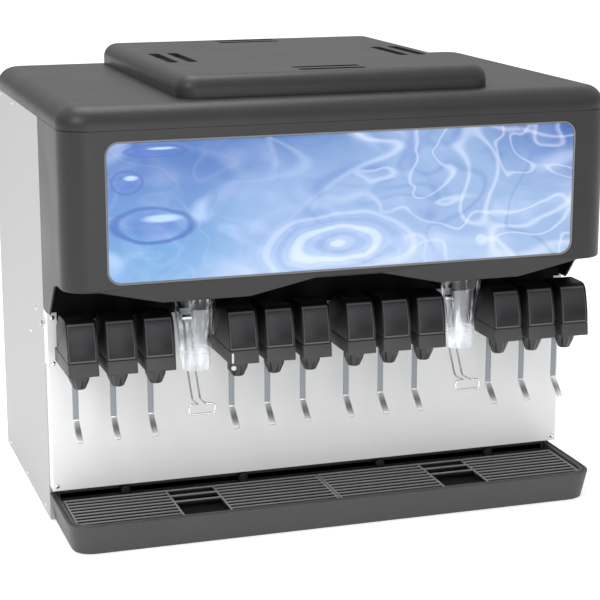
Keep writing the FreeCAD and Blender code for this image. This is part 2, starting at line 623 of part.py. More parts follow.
def make_top():
    """Top cover with its rim, and the lid that lies over it."""
    outer = rounded_block("CoverOuter", (f"-{HALF}", HALF), (HEAD_FRONT, BACK), ("cab_height", COVER_TOP),
                          "cover_corner", "cover_edge")
    inner = rounded_block("CoverInner", (f"-{HALF} + cover_wall", f"{HALF} - cover_wall"),
                          (f"{HEAD_FRONT} + cover_wall", f"{BACK} - cover_wall"),
                          ("cab_height", f"{COVER_TOP} - cover_wall"), "cover_corner - cover_wall",
                          "cover_edge - cover_wall")
    shell = cut("CoverShell", outer, inner)
    x_span, y_span = mouth_spans()
    rim = box("MouthRim", (f"{x_span[0]} - cover_wall", f"{x_span[1]} + cover_wall"),
              (f"{y_span[0]} - cover_wall", f"{y_span[1]} + cover_wall"),
              (f"{COVER_TOP} - cover_wall", f"{COVER_TOP} + mouth_rise"))
    mouth = box("Mouth", x_span, y_span, ("cab_height", f"{COVER_TOP} + mouth_rise + 1"))
    node("top_cover", cut("TopCover", fuse("CoverWithRim", shell, rim), mouth))

    lid_y = (f"{FRONT} - lid_front", f"{FRONT} - lid_front + lid_depth")
    lid_top = f"({COVER_TOP} + lid_height)"
    outer = rounded_block("LidOuter", ("-lid_width / 2", "lid_width / 2"), lid_y, (COVER_TOP, lid_top),
                          "lid_corner", "lid_edge")
    inner = rounded_block("LidInner", ("-lid_width / 2 + lid_wall", "lid_width / 2 - lid_wall"),
                          (f"{lid_y[0]} + lid_wall", f"{lid_y[1]} - lid_wall"), (COVER_TOP, f"{lid_top} - lid_wall"),
                          "lid_corner - lid_wall", "lid_edge - lid_wall")
    slots = []
    pads = []
    for count, (across, along, x_size, y_size) in enumerate(slot_places(), start=1):
        x_span = inlet_span(f"({across})", f"({x_size})")
        y_span = inlet_span(f"({FRONT} + {along})", f"({y_size})")
        slots.append(rounded_block(f"Slot{count}", x_span, y_span, (f"{lid_top} - slot_deep", f"{lid_top} + 1"),
                                   "slot_width / 2 - 0.2"))
        pads.append(box(f"SlotPad{count}", (f"{x_span[0]} - 3", f"{x_span[1]} + 3"),
                        (f"{y_span[0]} - 3", f"{y_span[1]} + 3"),
                        (f"{lid_top} - slot_deep - lid_wall", f"{lid_top} - lid_wall / 2")))
    shell = fuse("LidWithPads", cut("LidShell", outer, inner), *pads)
    node("ice_lid", cut("IceLid", shell, *slots))


def slot_places():
    """Middle and size of each grip slot: side pairs run front to back, the other two pairs across."""
    half = "slot_pitch / 2"
    places = []
    for side in ("-", ""):
        for step in ("-", "+"):
            places.append((f"{side}slot_side_x {step} {half}", "slot_side_y", "slot_width", "slot_long"))
    for middle in ("-slot_front_y", "slot_back_y"):
        for step in ("-", "+"):
            places.append(("0", f"{middle} {step} {half}", "slot_short", "slot_width"))
    return places


# ---------------------------------------------------------------- ice bin, cold plate and agitator
BIN_FRONT = f"({FRONT} + bin_set)"


def make_bin():
    """Ice bin with its two windows, the insulation round it and the cold plate under it."""
    outer = box("BinBlock", ("-bin_width / 2", "bin_width / 2"), (BIN_FRONT, f"{BIN_FRONT} + bin_depth"),
                ("bin_floor", "bin_top"))
    inner = box("BinRoom", ("-bin_width / 2 + bin_wall", "bin_width / 2 - bin_wall"),
                (f"{BIN_FRONT} + bin_wall", f"{BIN_FRONT} + bin_depth - bin_wall"),
                ("bin_floor + bin_wall", "bin_top + 1"))
    windows = [box(f"BinWindow{name}", inlet_span(middle, "window_width"), (f"{BIN_FRONT} - 1", f"{BIN_FRONT} + 9"),
                   ("window_bottom", "window_bottom + window_height"))
               for name, middle in (("Left", "-chute_x"), ("Right", "chute_x"))]
    bore = round_bar("BinBore", "y", ("0", "wheel_z"), "shaft_r + shaft_play", (f"{BIN_FRONT} - 1", f"{BIN_FRONT} + 9"))
    node("ice_bin", cut("IceBin", outer, inner, bore, *windows))

    foam = box("FoamBlock", ("-bin_width / 2 - foam_t", "bin_width / 2 + foam_t"),
               (BIN_FRONT, f"{BIN_FRONT} + bin_depth + foam_t"), ("foam_floor", "bin_top"))
    room = box("FoamRoom", ("-bin_width / 2", "bin_width / 2"), (f"{BIN_FRONT} - 1", f"{BIN_FRONT} + bin_depth"),
               ("bin_floor", "bin_top + 1"))
    bed = box("FoamBed", ("-plate_width / 2", "plate_width / 2"), (f"{BIN_FRONT} - 1", f"{BIN_FRONT} + plate_depth"),
              ("bin_floor - plate_t", "bin_floor + 1"))
    relief = box("FoamRelief", inlet_span("inlet_x", "(inlet_width + 8)"), (f"{BACK} - 26", BACK),
                 inlet_span("inlet_z", "(inlet_height + 8)"))
    node("bin_insulation", cut("BinInsulation", foam, room, bed, relief))
    node("cold_plate", box("ColdPlate", ("-plate_width / 2", "plate_width / 2"),
                           (BIN_FRONT, f"{BIN_FRONT} + plate_depth"), ("bin_floor - plate_t", "bin_floor")))


def make_agitator():
    """Wheel that carries ice to the windows, its shaft with stirring rods, and the gear motor."""
    wheel_y = f"({BIN_FRONT} + bin_wall + wheel_gap)"
    wheel_end = f"({wheel_y} + wheel_t)"
    centre = ("0", "wheel_z")
    rim = cut("WheelRim", round_bar("RimDisc", "y", centre, "wheel_r", (wheel_y, wheel_end)),
              round_bar("RimHole", "y", centre, "wheel_r - wheel_ring", (f"{wheel_y} - 1", f"{wheel_end} + 1")))
    hub = round_bar("WheelHub", "y", centre, "wheel_hub_r", (wheel_y, wheel_end))
    spokes = []
    for count in range(int(number("paddle_count")) // 2):
        spoke = box(f"Paddle{count}", ("-wheel_r + wheel_ring / 2", "wheel_r - wheel_ring / 2"), (wheel_y, wheel_end),
                    ("-paddle_t / 2", "paddle_t / 2"))
        turned = doc.addObject("Part::Compound", f"PaddleTurned{count}")
        turned.Links = [spoke]
        turned.Placement.Rotation = FreeCAD.Rotation(VEC(0, 1, 0), 360.0 * count / number("paddle_count"))
        spokes.append(drive(turned, base_z="wheel_z"))
    solid = fuse("WheelSolid", rim, hub, *spokes)
    bore = round_bar("WheelBore", "y", centre, "shaft_r", (f"{wheel_y} - 1", f"{wheel_end} + 1"))
    node("agitator_wheel", cut("AgitatorWheel", solid, bore))

    shaft = round_bar("ShaftBar", "y", centre, "shaft_r", (f"{BIN_FRONT} - 4", f"{BIN_FRONT} + bin_wall + shaft_length"))
    rods = [round_bar(f"Rod{count}", axis, place, "rod_r", span) for count, (axis, place, span) in enumerate((
        ("x", (f"{wheel_end} + 120", "wheel_z"), ("-rod_length", "rod_length")),
        ("z", ("0", f"{wheel_end} + 210"), ("wheel_z - rod_length", "wheel_z + rod_length"))), start=1)]
    node("agitator_shaft", fuse("AgitatorShaft", shaft, *rods))

    half = "gearbox_size / 2"
    case = box("GearCase", (f"-{half}", half), (f"{BIN_FRONT} - gearbox_depth", BIN_FRONT),
               (f"wheel_z - {half}", f"wheel_z + {half}"))
    can = round_bar("MotorCan", "x", (f"{BIN_FRONT} - gearbox_depth / 2 - 8", "wheel_z"), "motor_r",
                    (f"{half} - 1", f"{half} + motor_length"))
    socket = round_bar("GearSocket", "y", centre, "shaft_r + shaft_play", (f"{BIN_FRONT} - 5", f"{BIN_FRONT} + 1"))
    node("gear_motor", cut("GearMotor", fuse("MotorSolid", case, can), socket))


# ---------------------------------------------------------------- ice gates, throats, chutes and levers
def make_ice_way(side, sign):
    """One ice way: the gate over the bin's window, the throat, the chute and the lever below it."""
    name = side.title()
    middle = f"({sign}chute_x)"
    gate_y = f"({BIN_FRONT} - gate_gap)"
    half = "window_width / 2"
    lap = f"({half} + gate_lap)"
    top = "(window_bottom + window_height)"
    blade = box(f"{name}GateBlade", (f"{middle} - {lap}", f"{middle} + {lap}"), (f"{gate_y} - gate_t", gate_y),
                ("window_bottom - gate_lap + 1", f"{top} + gate_lap"))
    stem_y = f"{gate_y} - gate_t - coil_size / 2 - 1"
    arm = box(f"{name}GateArm", (f"{middle} - stem_r", f"{middle} + stem_r"), (f"{stem_y} - stem_r", f"{gate_y} - gate_t / 2"),
              (f"{top} + gate_lap - 4", f"{top} + gate_lap"))
    coil_z = f"({top} + gate_lap + gate_lift + 3)"
    stem = round_bar(f"{name}GateStem", "z", (middle, stem_y), "stem_r", (f"{top} + gate_lap - 2", f"{coil_z} + 6"))
    node(f"ice_gate_{side}", fuse(f"{name}Gate", blade, arm, stem))
    coil = box(f"{name}CoilBlock", (f"{middle} - coil_size / 2", f"{middle} + coil_size / 2"),
               (f"{stem_y} - coil_size / 2", f"{stem_y} + coil_size / 2"), (coil_z, f"{coil_z} + coil_height"))
    bore = round_bar(f"{name}CoilBore", "z", (middle, stem_y), "stem_r + 0.3", (f"{coil_z} - 1", f"{coil_z} + coil_height + 1"))
    coil_part = cut(f"{name}Coil", coil, bore)

    mouth_y = f"({gate_y} - gate_t - gate_gap)"
    exit_back = f"({FRONT} - chute_y + throat_exit / 2)"
    exit_front = f"({FRONT} - chute_y - throat_exit / 2)"
    low = "chute_brim"
    roof = f"({top} + throat_wall)"
    wall = "throat_wall"
    floor = [(mouth_y, "window_bottom"), (exit_back, "window_bottom - throat_drop")]
    outer = [(floor[0][0], f"window_bottom - {wall}"), (exit_back, f"{floor[1][1]} - {wall}"), (exit_back, low),
             (exit_front, low), (exit_front, f"{roof} - 50"), (f"{exit_front} + 60", roof), (mouth_y, roof)]
    inner = [(f"{mouth_y} + 1", "window_bottom"), floor[0], (f"{exit_back} - {wall}", floor[1][1]),
             (f"{exit_back} - {wall}", f"{low} - 1"), (f"{exit_front} + {wall}", f"{low} - 1"),
             (f"{exit_front} + {wall}", f"{roof} - 51"), (f"{exit_front} + 61", top), (f"{mouth_y} + 1", top)]
    duct = prism(f"{name}ThroatBlock", "YZ", outer, (f"{middle} - {half} - {wall}", f"{middle} + {half} + {wall}"))
    way = prism(f"{name}ThroatWay", "YZ", inner, (f"{middle} - {half}", f"{middle} + {half}"))
    flange_x = (f"{middle} - {lap} - 8", f"{middle} + {lap} + 8")
    flange = box(f"{name}ThroatFlange", flange_x, (f"{mouth_y} - {wall}", mouth_y),
                 ("window_bottom - gate_lap - 4", roof))
    guides = []
    for word, edge in (("A", "-"), ("B", "+")):
        inside = f"{middle} {edge} ({lap} + gate_gap)"
        outside = f"{middle} {edge} ({lap} + 8)"
        guide_x = (outside, inside) if edge == "-" else (inside, outside)
        guides.append(box(f"{name}Guide{word}", guide_x, (f"{mouth_y} - {wall}", BIN_FRONT),
                          ("window_bottom - gate_lap - 4", f"{top} + gate_lap")))
    throat = cut(f"{name}Throat", fuse(f"{name}ThroatSolid", duct, flange, *guides), way)

    place = (middle, f"{FRONT} - chute_y")
    tube = round_bar(f"{name}Tube", "z", place, "chute_r", ("chute_bottom", "chute_neck"))
    funnel = round_bar(f"{name}Funnel", "z", place, "chute_r", ("chute_neck", "chute_brim"), "chute_brim_r")
    tube_bore = round_bar(f"{name}TubeBore", "z", place, "chute_r - chute_wall", ("chute_bottom - 1", "chute_neck"))
    funnel_bore = round_bar(f"{name}FunnelBore", "z", place, "chute_r - chute_wall", ("chute_neck", "chute_brim + 0.01"),
                            "chute_brim_r - chute_wall")
    chute = cut(f"{name}Chute", fuse(f"{name}ChuteSolid", tube, funnel), tube_bore, funnel_bore)
    make_bail(side, name, middle)
    return coil_part, throat, chute


def make_ice_ways():
    """Both ice ways; what stays in place on both sides is one sub-part."""
    pairs = zip(make_ice_way("left", "-"), make_ice_way("right", ""))
    for label, pair in zip(("gate_solenoids", "ice_throats", "ice_chutes"), pairs):
        node(label, group(label.title().replace("_", ""), *pair))


def make_bail(side, name, middle):
    """Wire lever behind and below a chute, as a round wire carried along its bent path."""
    at = number(middle)
    front = number(FRONT)
    half = number("bail_gap / 2")
    loop = number("bail_loop_width / 2")
    radius = number("bail_r")

    def point(across, reach, height):
        """Point on the wire: across from the middle, in front of the side panels, above the counter."""
        return VEC(at + across, front - number(reach), number(height))

    hub_end = (half, "bail_pivot_y", "bail_pivot_z")
    bends = [hub_end, (half, "bail_knee_y", "bail_knee_z"), (half, "bail_elbow_y", "bail_elbow_z"),
             (half, "bail_loop_y", "bail_loop_z"), (loop, "bail_loop_y", "bail_loop_z"),
             (loop, "bail_loop_y", "bail_loop_z - bail_loop_height")]
    path = [point(*bend) for bend in bends] + [point(-bend[0], *bend[1:]) for bend in reversed(bends)]
    pieces = []
    for start, end in zip(path, path[1:]):
        pieces.append(Part.makeCylinder(radius, (end - start).Length, start, end - start))
        pieces.append(Part.makeSphere(radius, end))
    pieces.append(Part.makeSphere(radius, path[0]))
    hub_half = half + radius + 2
    hub_start = point(-hub_half, "bail_pivot_y", "bail_pivot_z")
    pieces.append(Part.makeCylinder(number("bail_hub_r"), 2 * hub_half, hub_start, VEC(1, 0, 0)))
    wire = pieces[0].multiFuse(pieces[1:])
    bore = Part.makeCylinder(number("pin_r + pin_play"), 2 * hub_half + 2, hub_start - VEC(1, 0, 0), VEC(1, 0, 0))
    item = doc.addObject("Part::Feature", f"{name}Bail")
    item.Shape = wire.cut(bore).removeSplitter()
    node(f"ice_lever_{side}", item)


def make_bail_brackets():
    """Brackets on the valve plate with the pins of the ice levers."""
    pieces = []
    for name, middle in (("Left", "(-chute_x)"), ("Right", "chute_x")):
        near = "(bail_gap / 2 + bail_r + 2 + ear_gap)"
        far = f"({near} + ear_t)"
        pin = round_bar(f"{name}BailPin", "x", (f"{FRONT} - bail_pivot_y", "bail_pivot_z"), "pin_r",
                        (f"{middle} - {far}", f"{middle} + {far}"))
        web = box(f"{name}BracketWeb", (f"{middle} - {far}", f"{middle} + {far}"), (f"{PANEL} - ear_t", PANEL),
                  ("bail_pivot_z - 14", "bail_pivot_z + 14"))
        ears = [box(f"{name}BracketEar{word}", span, (f"{FRONT} - bail_pivot_y - 7", PANEL),
                    ("bail_pivot_z - 10", "bail_pivot_z + 10"))
                for word, span in (("A", (f"{middle} - {far}", f"{middle} - {near}")),
                                   ("B", (f"{middle} + {near}", f"{middle} + {far}")))]
        pieces.append(fuse(f"{name}Bracket", web, pin, *ears))
    node("ice_lever_brackets", group("BailBrackets", *pieces))


# ---------------------------------------------------------------- valves
VALVE_FRONT = f"({FRONT} - valve_reach)"


def make_valves():
    """Twelve valves: body, cover, solenoids and nozzle each, and a lever on its pin."""
    half = "valve_width / 2"
    pivot_y = f"({FRONT} - lever_y)"
    band = prism("ValveBand", "YZ", [(VALVE_FRONT, "valve_bottom"), (f"{PANEL} - 12", "valve_bottom"),
                                    (f"{PANEL} - 12", "valve_split"), (f"{VALVE_FRONT} + 3", "valve_split")],
                 (f"-{half}", half))
    stand = box("ValveStand", ("-stand_width / 2", "stand_width / 2"), (f"{FRONT} - valve_back + 1", PANEL),
                ("valve_bottom", "valve_low_back"))
    core = box("ValveCore", ("-stand_width / 2", "stand_width / 2"),
               (f"{VALVE_FRONT} + 36", f"{FRONT} - valve_back - shell_t - fit_gap"),
               ("valve_bottom", "valve_split + 14"))
    ears = []
    inside = "(lever_width / 2 + ear_gap)"
    for word, span in (("A", (f"-{inside} - ear_t", f"-{inside}")), ("B", (inside, f"{inside} + ear_t"))):
        ears.append(box(f"ValveEar{word}", span, (f"{pivot_y} - hub_r", f"{pivot_y} + hub_r"),
                        ("lever_pivot_z - hub_r", "valve_bottom + 1")))
    pin_hole = round_bar("ValvePinHole", "x", (pivot_y, "lever_pivot_z"), "pin_r", ("-30", "30"))
    slot = box("ValveSlot", (f"-{inside}", inside), (f"{pivot_y} - hub_r - 3", f"{pivot_y} + hub_r + 3"),
               ("valve_bottom - 1", "lever_pivot_z + hub_r + 3"))
    tube_hole = round_bar("ValveTubeHole", "y", ("0", "tube_top"), "tube_r", (f"{PANEL} - 8", f"{PANEL} + 1"))
    whole = cut("ValveBody", fuse("ValveSolid", band, stand, core, *ears), pin_hole, slot, tube_hole)
    bodies = dispose("ValveBodies", whole, VALVES)
    node("valve_bodies", group("ValveBodiesWithButton", bodies, make_water_button()))
    pin = round_bar("LeverPin", "x", (pivot_y, "lever_pivot_z"), "pin_r", (f"-{inside} - ear_t", f"{inside} + ear_t"))
    node("lever_pins", dispose("LeverPins", group("LeverPinAtMiddle", pin), VALVES))

    lean = f"({VALVE_FRONT} + 3 + cover_lean)"
    outline = [(f"{VALVE_FRONT} + 3", "valve_split"), (f"{VALVE_FRONT} + 6", "valve_split + 26"),
               (f"{lean} - 5", "valve_top - 9"), (f"{lean} + 5", "valve_top"), (f"{FRONT} - valve_slope", "valve_top"),
               (f"{FRONT} - valve_back", "valve_low_back"), (f"{FRONT} - valve_back", "valve_split")]
    room = [(f"{VALVE_FRONT} + 3 + shell_t", "valve_split - 1"), (f"{VALVE_FRONT} + 6 + shell_t", "valve_split + 26"),
            (f"{lean} - 4 + shell_t", "valve_top - 9 - shell_t"), (f"{lean} + 5", "valve_top - shell_t"),
            (f"{FRONT} - valve_slope - 1", "valve_top - shell_t"),
            (f"{FRONT} - valve_back - shell_t", "valve_low_back - 1"), (f"{FRONT} - valve_back - shell_t", "valve_split - 1")]
    cover = cut("ValveCover", prism("CoverBlock", "YZ", outline, (f"-{half}", half)),
                prism("CoverRoom", "YZ", room, (f"-{half} + shell_t", f"{half} - shell_t")))
    node("valve_covers", dispose("ValveCovers", cover, VALVES))

    coils = []
    for word, place in (("A", f"{VALVE_FRONT} + 58"), ("B", f"{VALVE_FRONT} + 90")):
        coils.append(round_bar(f"Solenoid{word}", "z", ("0", place), "solenoid_r",
                               ("valve_split + 14", "valve_split + 14 + solenoid_height")))
    node("valve_solenoids", dispose("ValveSolenoids", group("SolenoidPair", *coils), VALVES))

    place = ("0", f"{FRONT} - nozzle_y")
    low = "(valve_bottom - nozzle_length)"
    knee = "(valve_bottom - nozzle_skirt)"
    skirt = round_bar("NozzleSkirt", "z", place, "nozzle_r - 1", (knee, "valve_bottom"), "nozzle_r")
    tip = round_bar("NozzleTip", "z", place, "nozzle_tip_r", (low, knee), "nozzle_r - 1")
    bore = round_bar("NozzleBore", "z", place, "nozzle_bore_r", (f"{low} - 1", f"{low} + nozzle_bore_deep"))
    node("valve_nozzles", dispose("ValveNozzles", cut("Nozzle", fuse("NozzleSolid", skirt, tip), bore), VALVES))
    for count, across in enumerate(VALVES, start=1):
        make_lever(count, across, pivot_y)


def make_lever(count, across, pivot_y):
    """Bent strip that a cup pushes, with the hub that turns on its pin."""
    name = f"Lever{count:02d}"
    back_y = f"{pivot_y} + lever_t / 2"
    front_y = f"{pivot_y} - lever_t / 2"
    strip = prism(f"{name}Strip", "YZ", [(back_y, "lever_pivot_z"), (back_y, "lever_bend_z"),
                                        (f"{back_y} - lever_kick", "lever_tip_z"),
                                        (f"{front_y} - lever_kick", "lever_tip_z + lever_t / 2"),
                                        (front_y, "lever_bend_z + lever_t / 2"), (front_y, "lever_pivot_z")],
                  (f"{across} - lever_width / 2", f"{across} + lever_width / 2"))
    span = (f"{across} - lever_width / 2", f"{across} + lever_width / 2")
    hub = round_bar(f"{name}Hub", "x", (pivot_y, "lever_pivot_z"), "hub_r", span)
    bore = round_bar(f"{name}Bore", "x", (pivot_y, "lever_pivot_z"), "pin_r + pin_play",
                     (f"{span[0]} - 1", f"{span[1]} + 1"))
    node(f"valve_lever_{count:02d}", cut(name, fuse(f"{name}Solid", strip, hub), bore))


def make_water_button():
    """Push button for plain water under one valve, in a block of its own."""
    across = f"({VALVES[WATER_VALVE]} - valve_width / 2 + button_r + 3)"
    high = "valve_bottom - button_r - 2"
    front_y = f"({VALVE_FRONT} + button_travel + 7)"
    block = box("ButtonBlock", inlet_span(across, "(2 * button_r + 5)"), (front_y, f"{front_y} + 14"),
                ("valve_bottom - 2 * button_r - 4", "valve_bottom"))
    bore = round_bar("ButtonBore", "y", (across, high), "button_r - 2 + button_play", (f"{front_y} - 1", f"{front_y} + 15"))
    head = round_bar("ButtonHead", "y", (across, high), "button_r",
                     (f"{front_y} - button_travel - 6", f"{front_y} - button_travel - 1"))
    stem = round_bar("ButtonStem", "y", (across, high), "button_r - 2",
                     (f"{front_y} - button_travel - 2", f"{front_y} + 9"))
    node("water_button", fuse("WaterButton", head, stem))
    return cut("WaterButtonBlock", block, bore)


# ---------------------------------------------------------------- drip tray
def wedge(name, bottom_half, top_half, bottom_reach, top_reach, z_span, back="0"):
    """Block whose sides and front lean outwards on the way up; its back stays upright."""
    item = doc.addObject("Part::Wedge", name)
    item.Placement.Rotation = FreeCAD.Rotation(VEC(1, 0, 0), 90)
    drive(item, Xmin=f"-({bottom_half})", Xmax=bottom_half, X2min=f"-({top_half})", X2max=top_half)
    drive(item, Zmin=back, Zmax=bottom_reach, Z2min=back, Z2max=top_reach)
    drive(item, Ymin=z_span[0], Ymax=z_span[1])
    return drive(item, base_y=FRONT)


def round_front(name, base, radius):
    """Rounds the two front corners of a leaning block."""
    doc.recompute()
    front = base.Shape.BoundBox.YMin
    picked = []
    for index, edge in enumerate(base.Shape.Edges, start=1):
        course = edge.tangentAt(edge.FirstParameter)
        if abs(course.z) > 0.9 and edge.CenterOfMass.y < front + 30:
            picked.append((index, number(radius), number(radius)))
    item = doc.addObject("Part::Fillet", name)
    item.Base = base
    item.Edges = picked
    return item


def knob_places():
    """Thumb screws across the tray."""
    return ("-knob_outer_x", "-knob_inner_x", "knob_inner_x", "knob_outer_x")


def make_tray():
    """Drip tray with a ledge for the cup rests, its thumb screws and its drain."""
    lean = "tray_draft / tray_height"
    room_half = f"({HALF} - tray_rim)"
    room_reach = "(tray_reach - tray_rim)"
    outer = round_front("TrayOuter", wedge("TrayBlock", f"{HALF} - tray_draft", HALF, "tray_reach - tray_draft",
                                          "tray_reach", ("0", "tray_height")), "tray_corner")
    upper = round_front("TrayUpper", wedge("TrayUpperRoom", f"{room_half} - 1", room_half, f"{room_reach} - 1", room_reach,
                                          ("ledge_z", "tray_height + 1"), "tray_back"), "tray_corner - tray_rim")
    low_half = f"({room_half} - ledge_width - (ledge_z - tray_floor) * {lean})"
    low_reach = f"({room_reach} - ledge_width - (ledge_z - tray_floor) * {lean})"
    lower = round_front("TrayLower", wedge("TrayLowerRoom", low_half, f"{room_half} - ledge_width", low_reach,
                                          f"{room_reach} - ledge_width", ("tray_floor", "ledge_z + 1"),
                                          "tray_back"), "tray_corner - tray_rim")
    upstand = box("TrayUpstand", (f"-{room_half} + 4", f"{room_half} - 4"), (f"{FRONT} - tray_back", FRONT),
                  ("tray_height - 1", "tray_upstand"))
    shelf = box("TrayShelf", (f"-{room_half} + ledge_width / 2", f"{room_half} - ledge_width / 2"),
                (f"{FRONT} - rest_back - ledge_width", f"{FRONT} - tray_back / 2"), ("ledge_z - tray_floor", "ledge_z"))
    rib = box("TrayRib", ("-ledge_width", "ledge_width"), (f"{FRONT} - {low_reach} - 2", f"{FRONT} - tray_back / 2"),
              ("tray_floor - 1", "ledge_z"))
    shanks = [round_bar(f"TrayShank{count}", "y", (place, "knob_z"), "shank_r",
                        (f"{FRONT} - tray_back - 1", f"{FRONT} + 1")) for count, place in enumerate(knob_places(), start=1)]
    place = ("-drain_x", f"{FRONT} - drain_y")
    drain_hole = round_bar("TrayDrain", "z", place, "drain_bore_r + 3", ("-1", "tray_floor + 1"))
    hollow = cut("TrayHollow", fuse("TrayShell", outer, upstand), upper, lower)
    node("drip_tray", cut("DripTray", fuse("TrayWithRib", hollow, shelf, rib), drain_hole, *shanks))

    flange = round_bar("DrainFlange", "z", place, "drain_r", ("tray_floor", "tray_floor + 3"))
    sleeve = round_bar("DrainSleeve", "z", place, "drain_bore_r + 3", ("0.5", "tray_floor + 1"))
    bore = round_bar("DrainBore", "z", place, "drain_bore_r", ("0", "tray_floor + 4"))
    node("drain_fitting", cut("DrainFitting", fuse("DrainSolid", flange, sleeve), bore))

    screws = []
    for count, across in enumerate(knob_places(), start=1):
        head = round_bar(f"KnobHead{count}", "y", (across, "knob_z"), "knob_r",
                         (f"{FRONT} - tray_back - knob_length", f"{FRONT} - tray_back"))
        shank = round_bar(f"KnobShank{count}", "y", (across, "knob_z"), "shank_r",
                          (f"{FRONT} - tray_back - 2", f"{FRONT} + 8"))
        screws.append(fuse(f"Knob{count}", head, shank))
    node("tray_screws", group("TrayScrews", *screws))


FULL_ROWS = (0, 2, 4, 9)


def make_cup_rests():
    """Two grilles with bars along X, open in the drop zones under the ice chutes."""
    outer_x = f"({HALF} - tray_rim - 3)"
    reach = "(tray_reach - tray_rim - 3)"
    corner = "(tray_corner - tray_rim - 3)"
    step = f"(({reach} - rest_back - bar_t) / (rest_rows - 1))"
    z_span = ("ledge_z", "ledge_z + rest_height")
    z_room = ("ledge_z - 1", "ledge_z + rest_height + 1")
    turn_y = f"({FRONT} - {reach} + {corner})"
    for side, sign in (("left", -1), ("right", 1)):
        name = f"Rest{side.title()}"
        pieces = []
        for count, place in enumerate(("(1 + bar_t / 2)", "drop_from", "drop_to", f"({outer_x} - bar_t / 2)")):
            pieces.append(box(f"{name}Cross{count}", inlet_span(f"({sign} * {place})", "bar_t"),
                              (f"{FRONT} - {reach}", f"{FRONT} - rest_back"), z_span))
        for row in range(int(number("rest_rows"))):
            back_y = f"({FRONT} - rest_back - {row} * {step})"
            y_span = (f"{back_y} - bar_t", back_y)
            runs = (("1", outer_x),) if row in FULL_ROWS else (("1", "drop_from"), ("drop_to", outer_x))
            for part, run in enumerate(runs):
                pieces.append(box(f"{name}Bar{row}{part}", mirrored(sign, *run), y_span, z_span))
        middle = (f"({sign} * ({outer_x} - {corner}))", turn_y)
        arc = cut(f"{name}Arc", round_bar(f"{name}ArcOuter", "z", middle, corner, z_span),
                  round_bar(f"{name}ArcInner", "z", middle, f"{corner} - bar_t", z_room),
                  box(f"{name}ArcSide", mirrored(sign, f"{outer_x} - 2 * {corner}", f"{outer_x} - {corner}"),
                      (f"{FRONT} - {reach} - 1", f"{turn_y} + {corner} + 1"), z_room),
                  box(f"{name}ArcBack", mirrored(sign, f"{outer_x} - 2 * {corner}", f"{outer_x} + 1"),
                      (turn_y, f"{turn_y} + {corner} + 1"), z_room))
        nick = cut(f"{name}Nick", box(f"{name}NickBlock", mirrored(sign, f"{outer_x} - {corner}", f"{outer_x} + 1"),
                                      (f"{FRONT} - {reach} - 1", turn_y), z_room),
                   round_bar(f"{name}NickRound", "z", middle, corner, z_room))
        node(f"cup_rest_{side}", fuse(name, cut(f"{name}Bars", fuse(f"{name}Grid", *pieces), nick), arc))


# ---------------------------------------------------------------- plumbing, electrics and fasteners
def make_plumbing():
    """Tubes from the cold plate up to the valves, and supply lines with barbs down to the base."""
    up_y = f"({FRONT} + tube_y)"
    tube_z = "(bin_floor - plate_t / 3)"
    foot = round_bar("TubeFoot", "y", ("0", tube_z), "tube_r", (up_y, BIN_FRONT))
    riser = round_bar("TubeRiser", "z", ("0", up_y), "tube_r", (tube_z, "tube_top"))
    reach = round_bar("TubeReach", "y", ("0", "tube_top"), "tube_r", (f"{PANEL} - 8", up_y))
    bends = [ball("TubeBend1", ("0", up_y, tube_z), "tube_r"), ball("TubeBend2", ("0", up_y, "tube_top"), "tube_r")]
    node("product_tubes", dispose("ProductTubes", fuse("Tube", foot, riser, reach, *bends), VALVES))
    line_z = "(bin_floor - plate_t * 2 / 3 - tube_r)"
    line_y = f"({FRONT} + tube_y + 14)"
    foot = round_bar("LineFoot", "y", ("0", line_z), "tube_r", (line_y, BIN_FRONT))
    drop = round_bar("LineDrop", "z", ("0", line_y), "tube_r", ("sheet_t + barb_length", line_z))
    bend = ball("LineBend", ("0", line_y, line_z), "tube_r")
    barb = round_bar("LineBarb", "z", ("0", line_y), "barb_r - 2", ("sheet_t + 3", "sheet_t + barb_length + 1"), "barb_r")
    supply = [f"({step} * port_width / 14)" for step in range(-6, 7)]
    node("supply_barbs", dispose("SupplyBarbs", fuse("Line", foot, drop, barb, bend), supply))


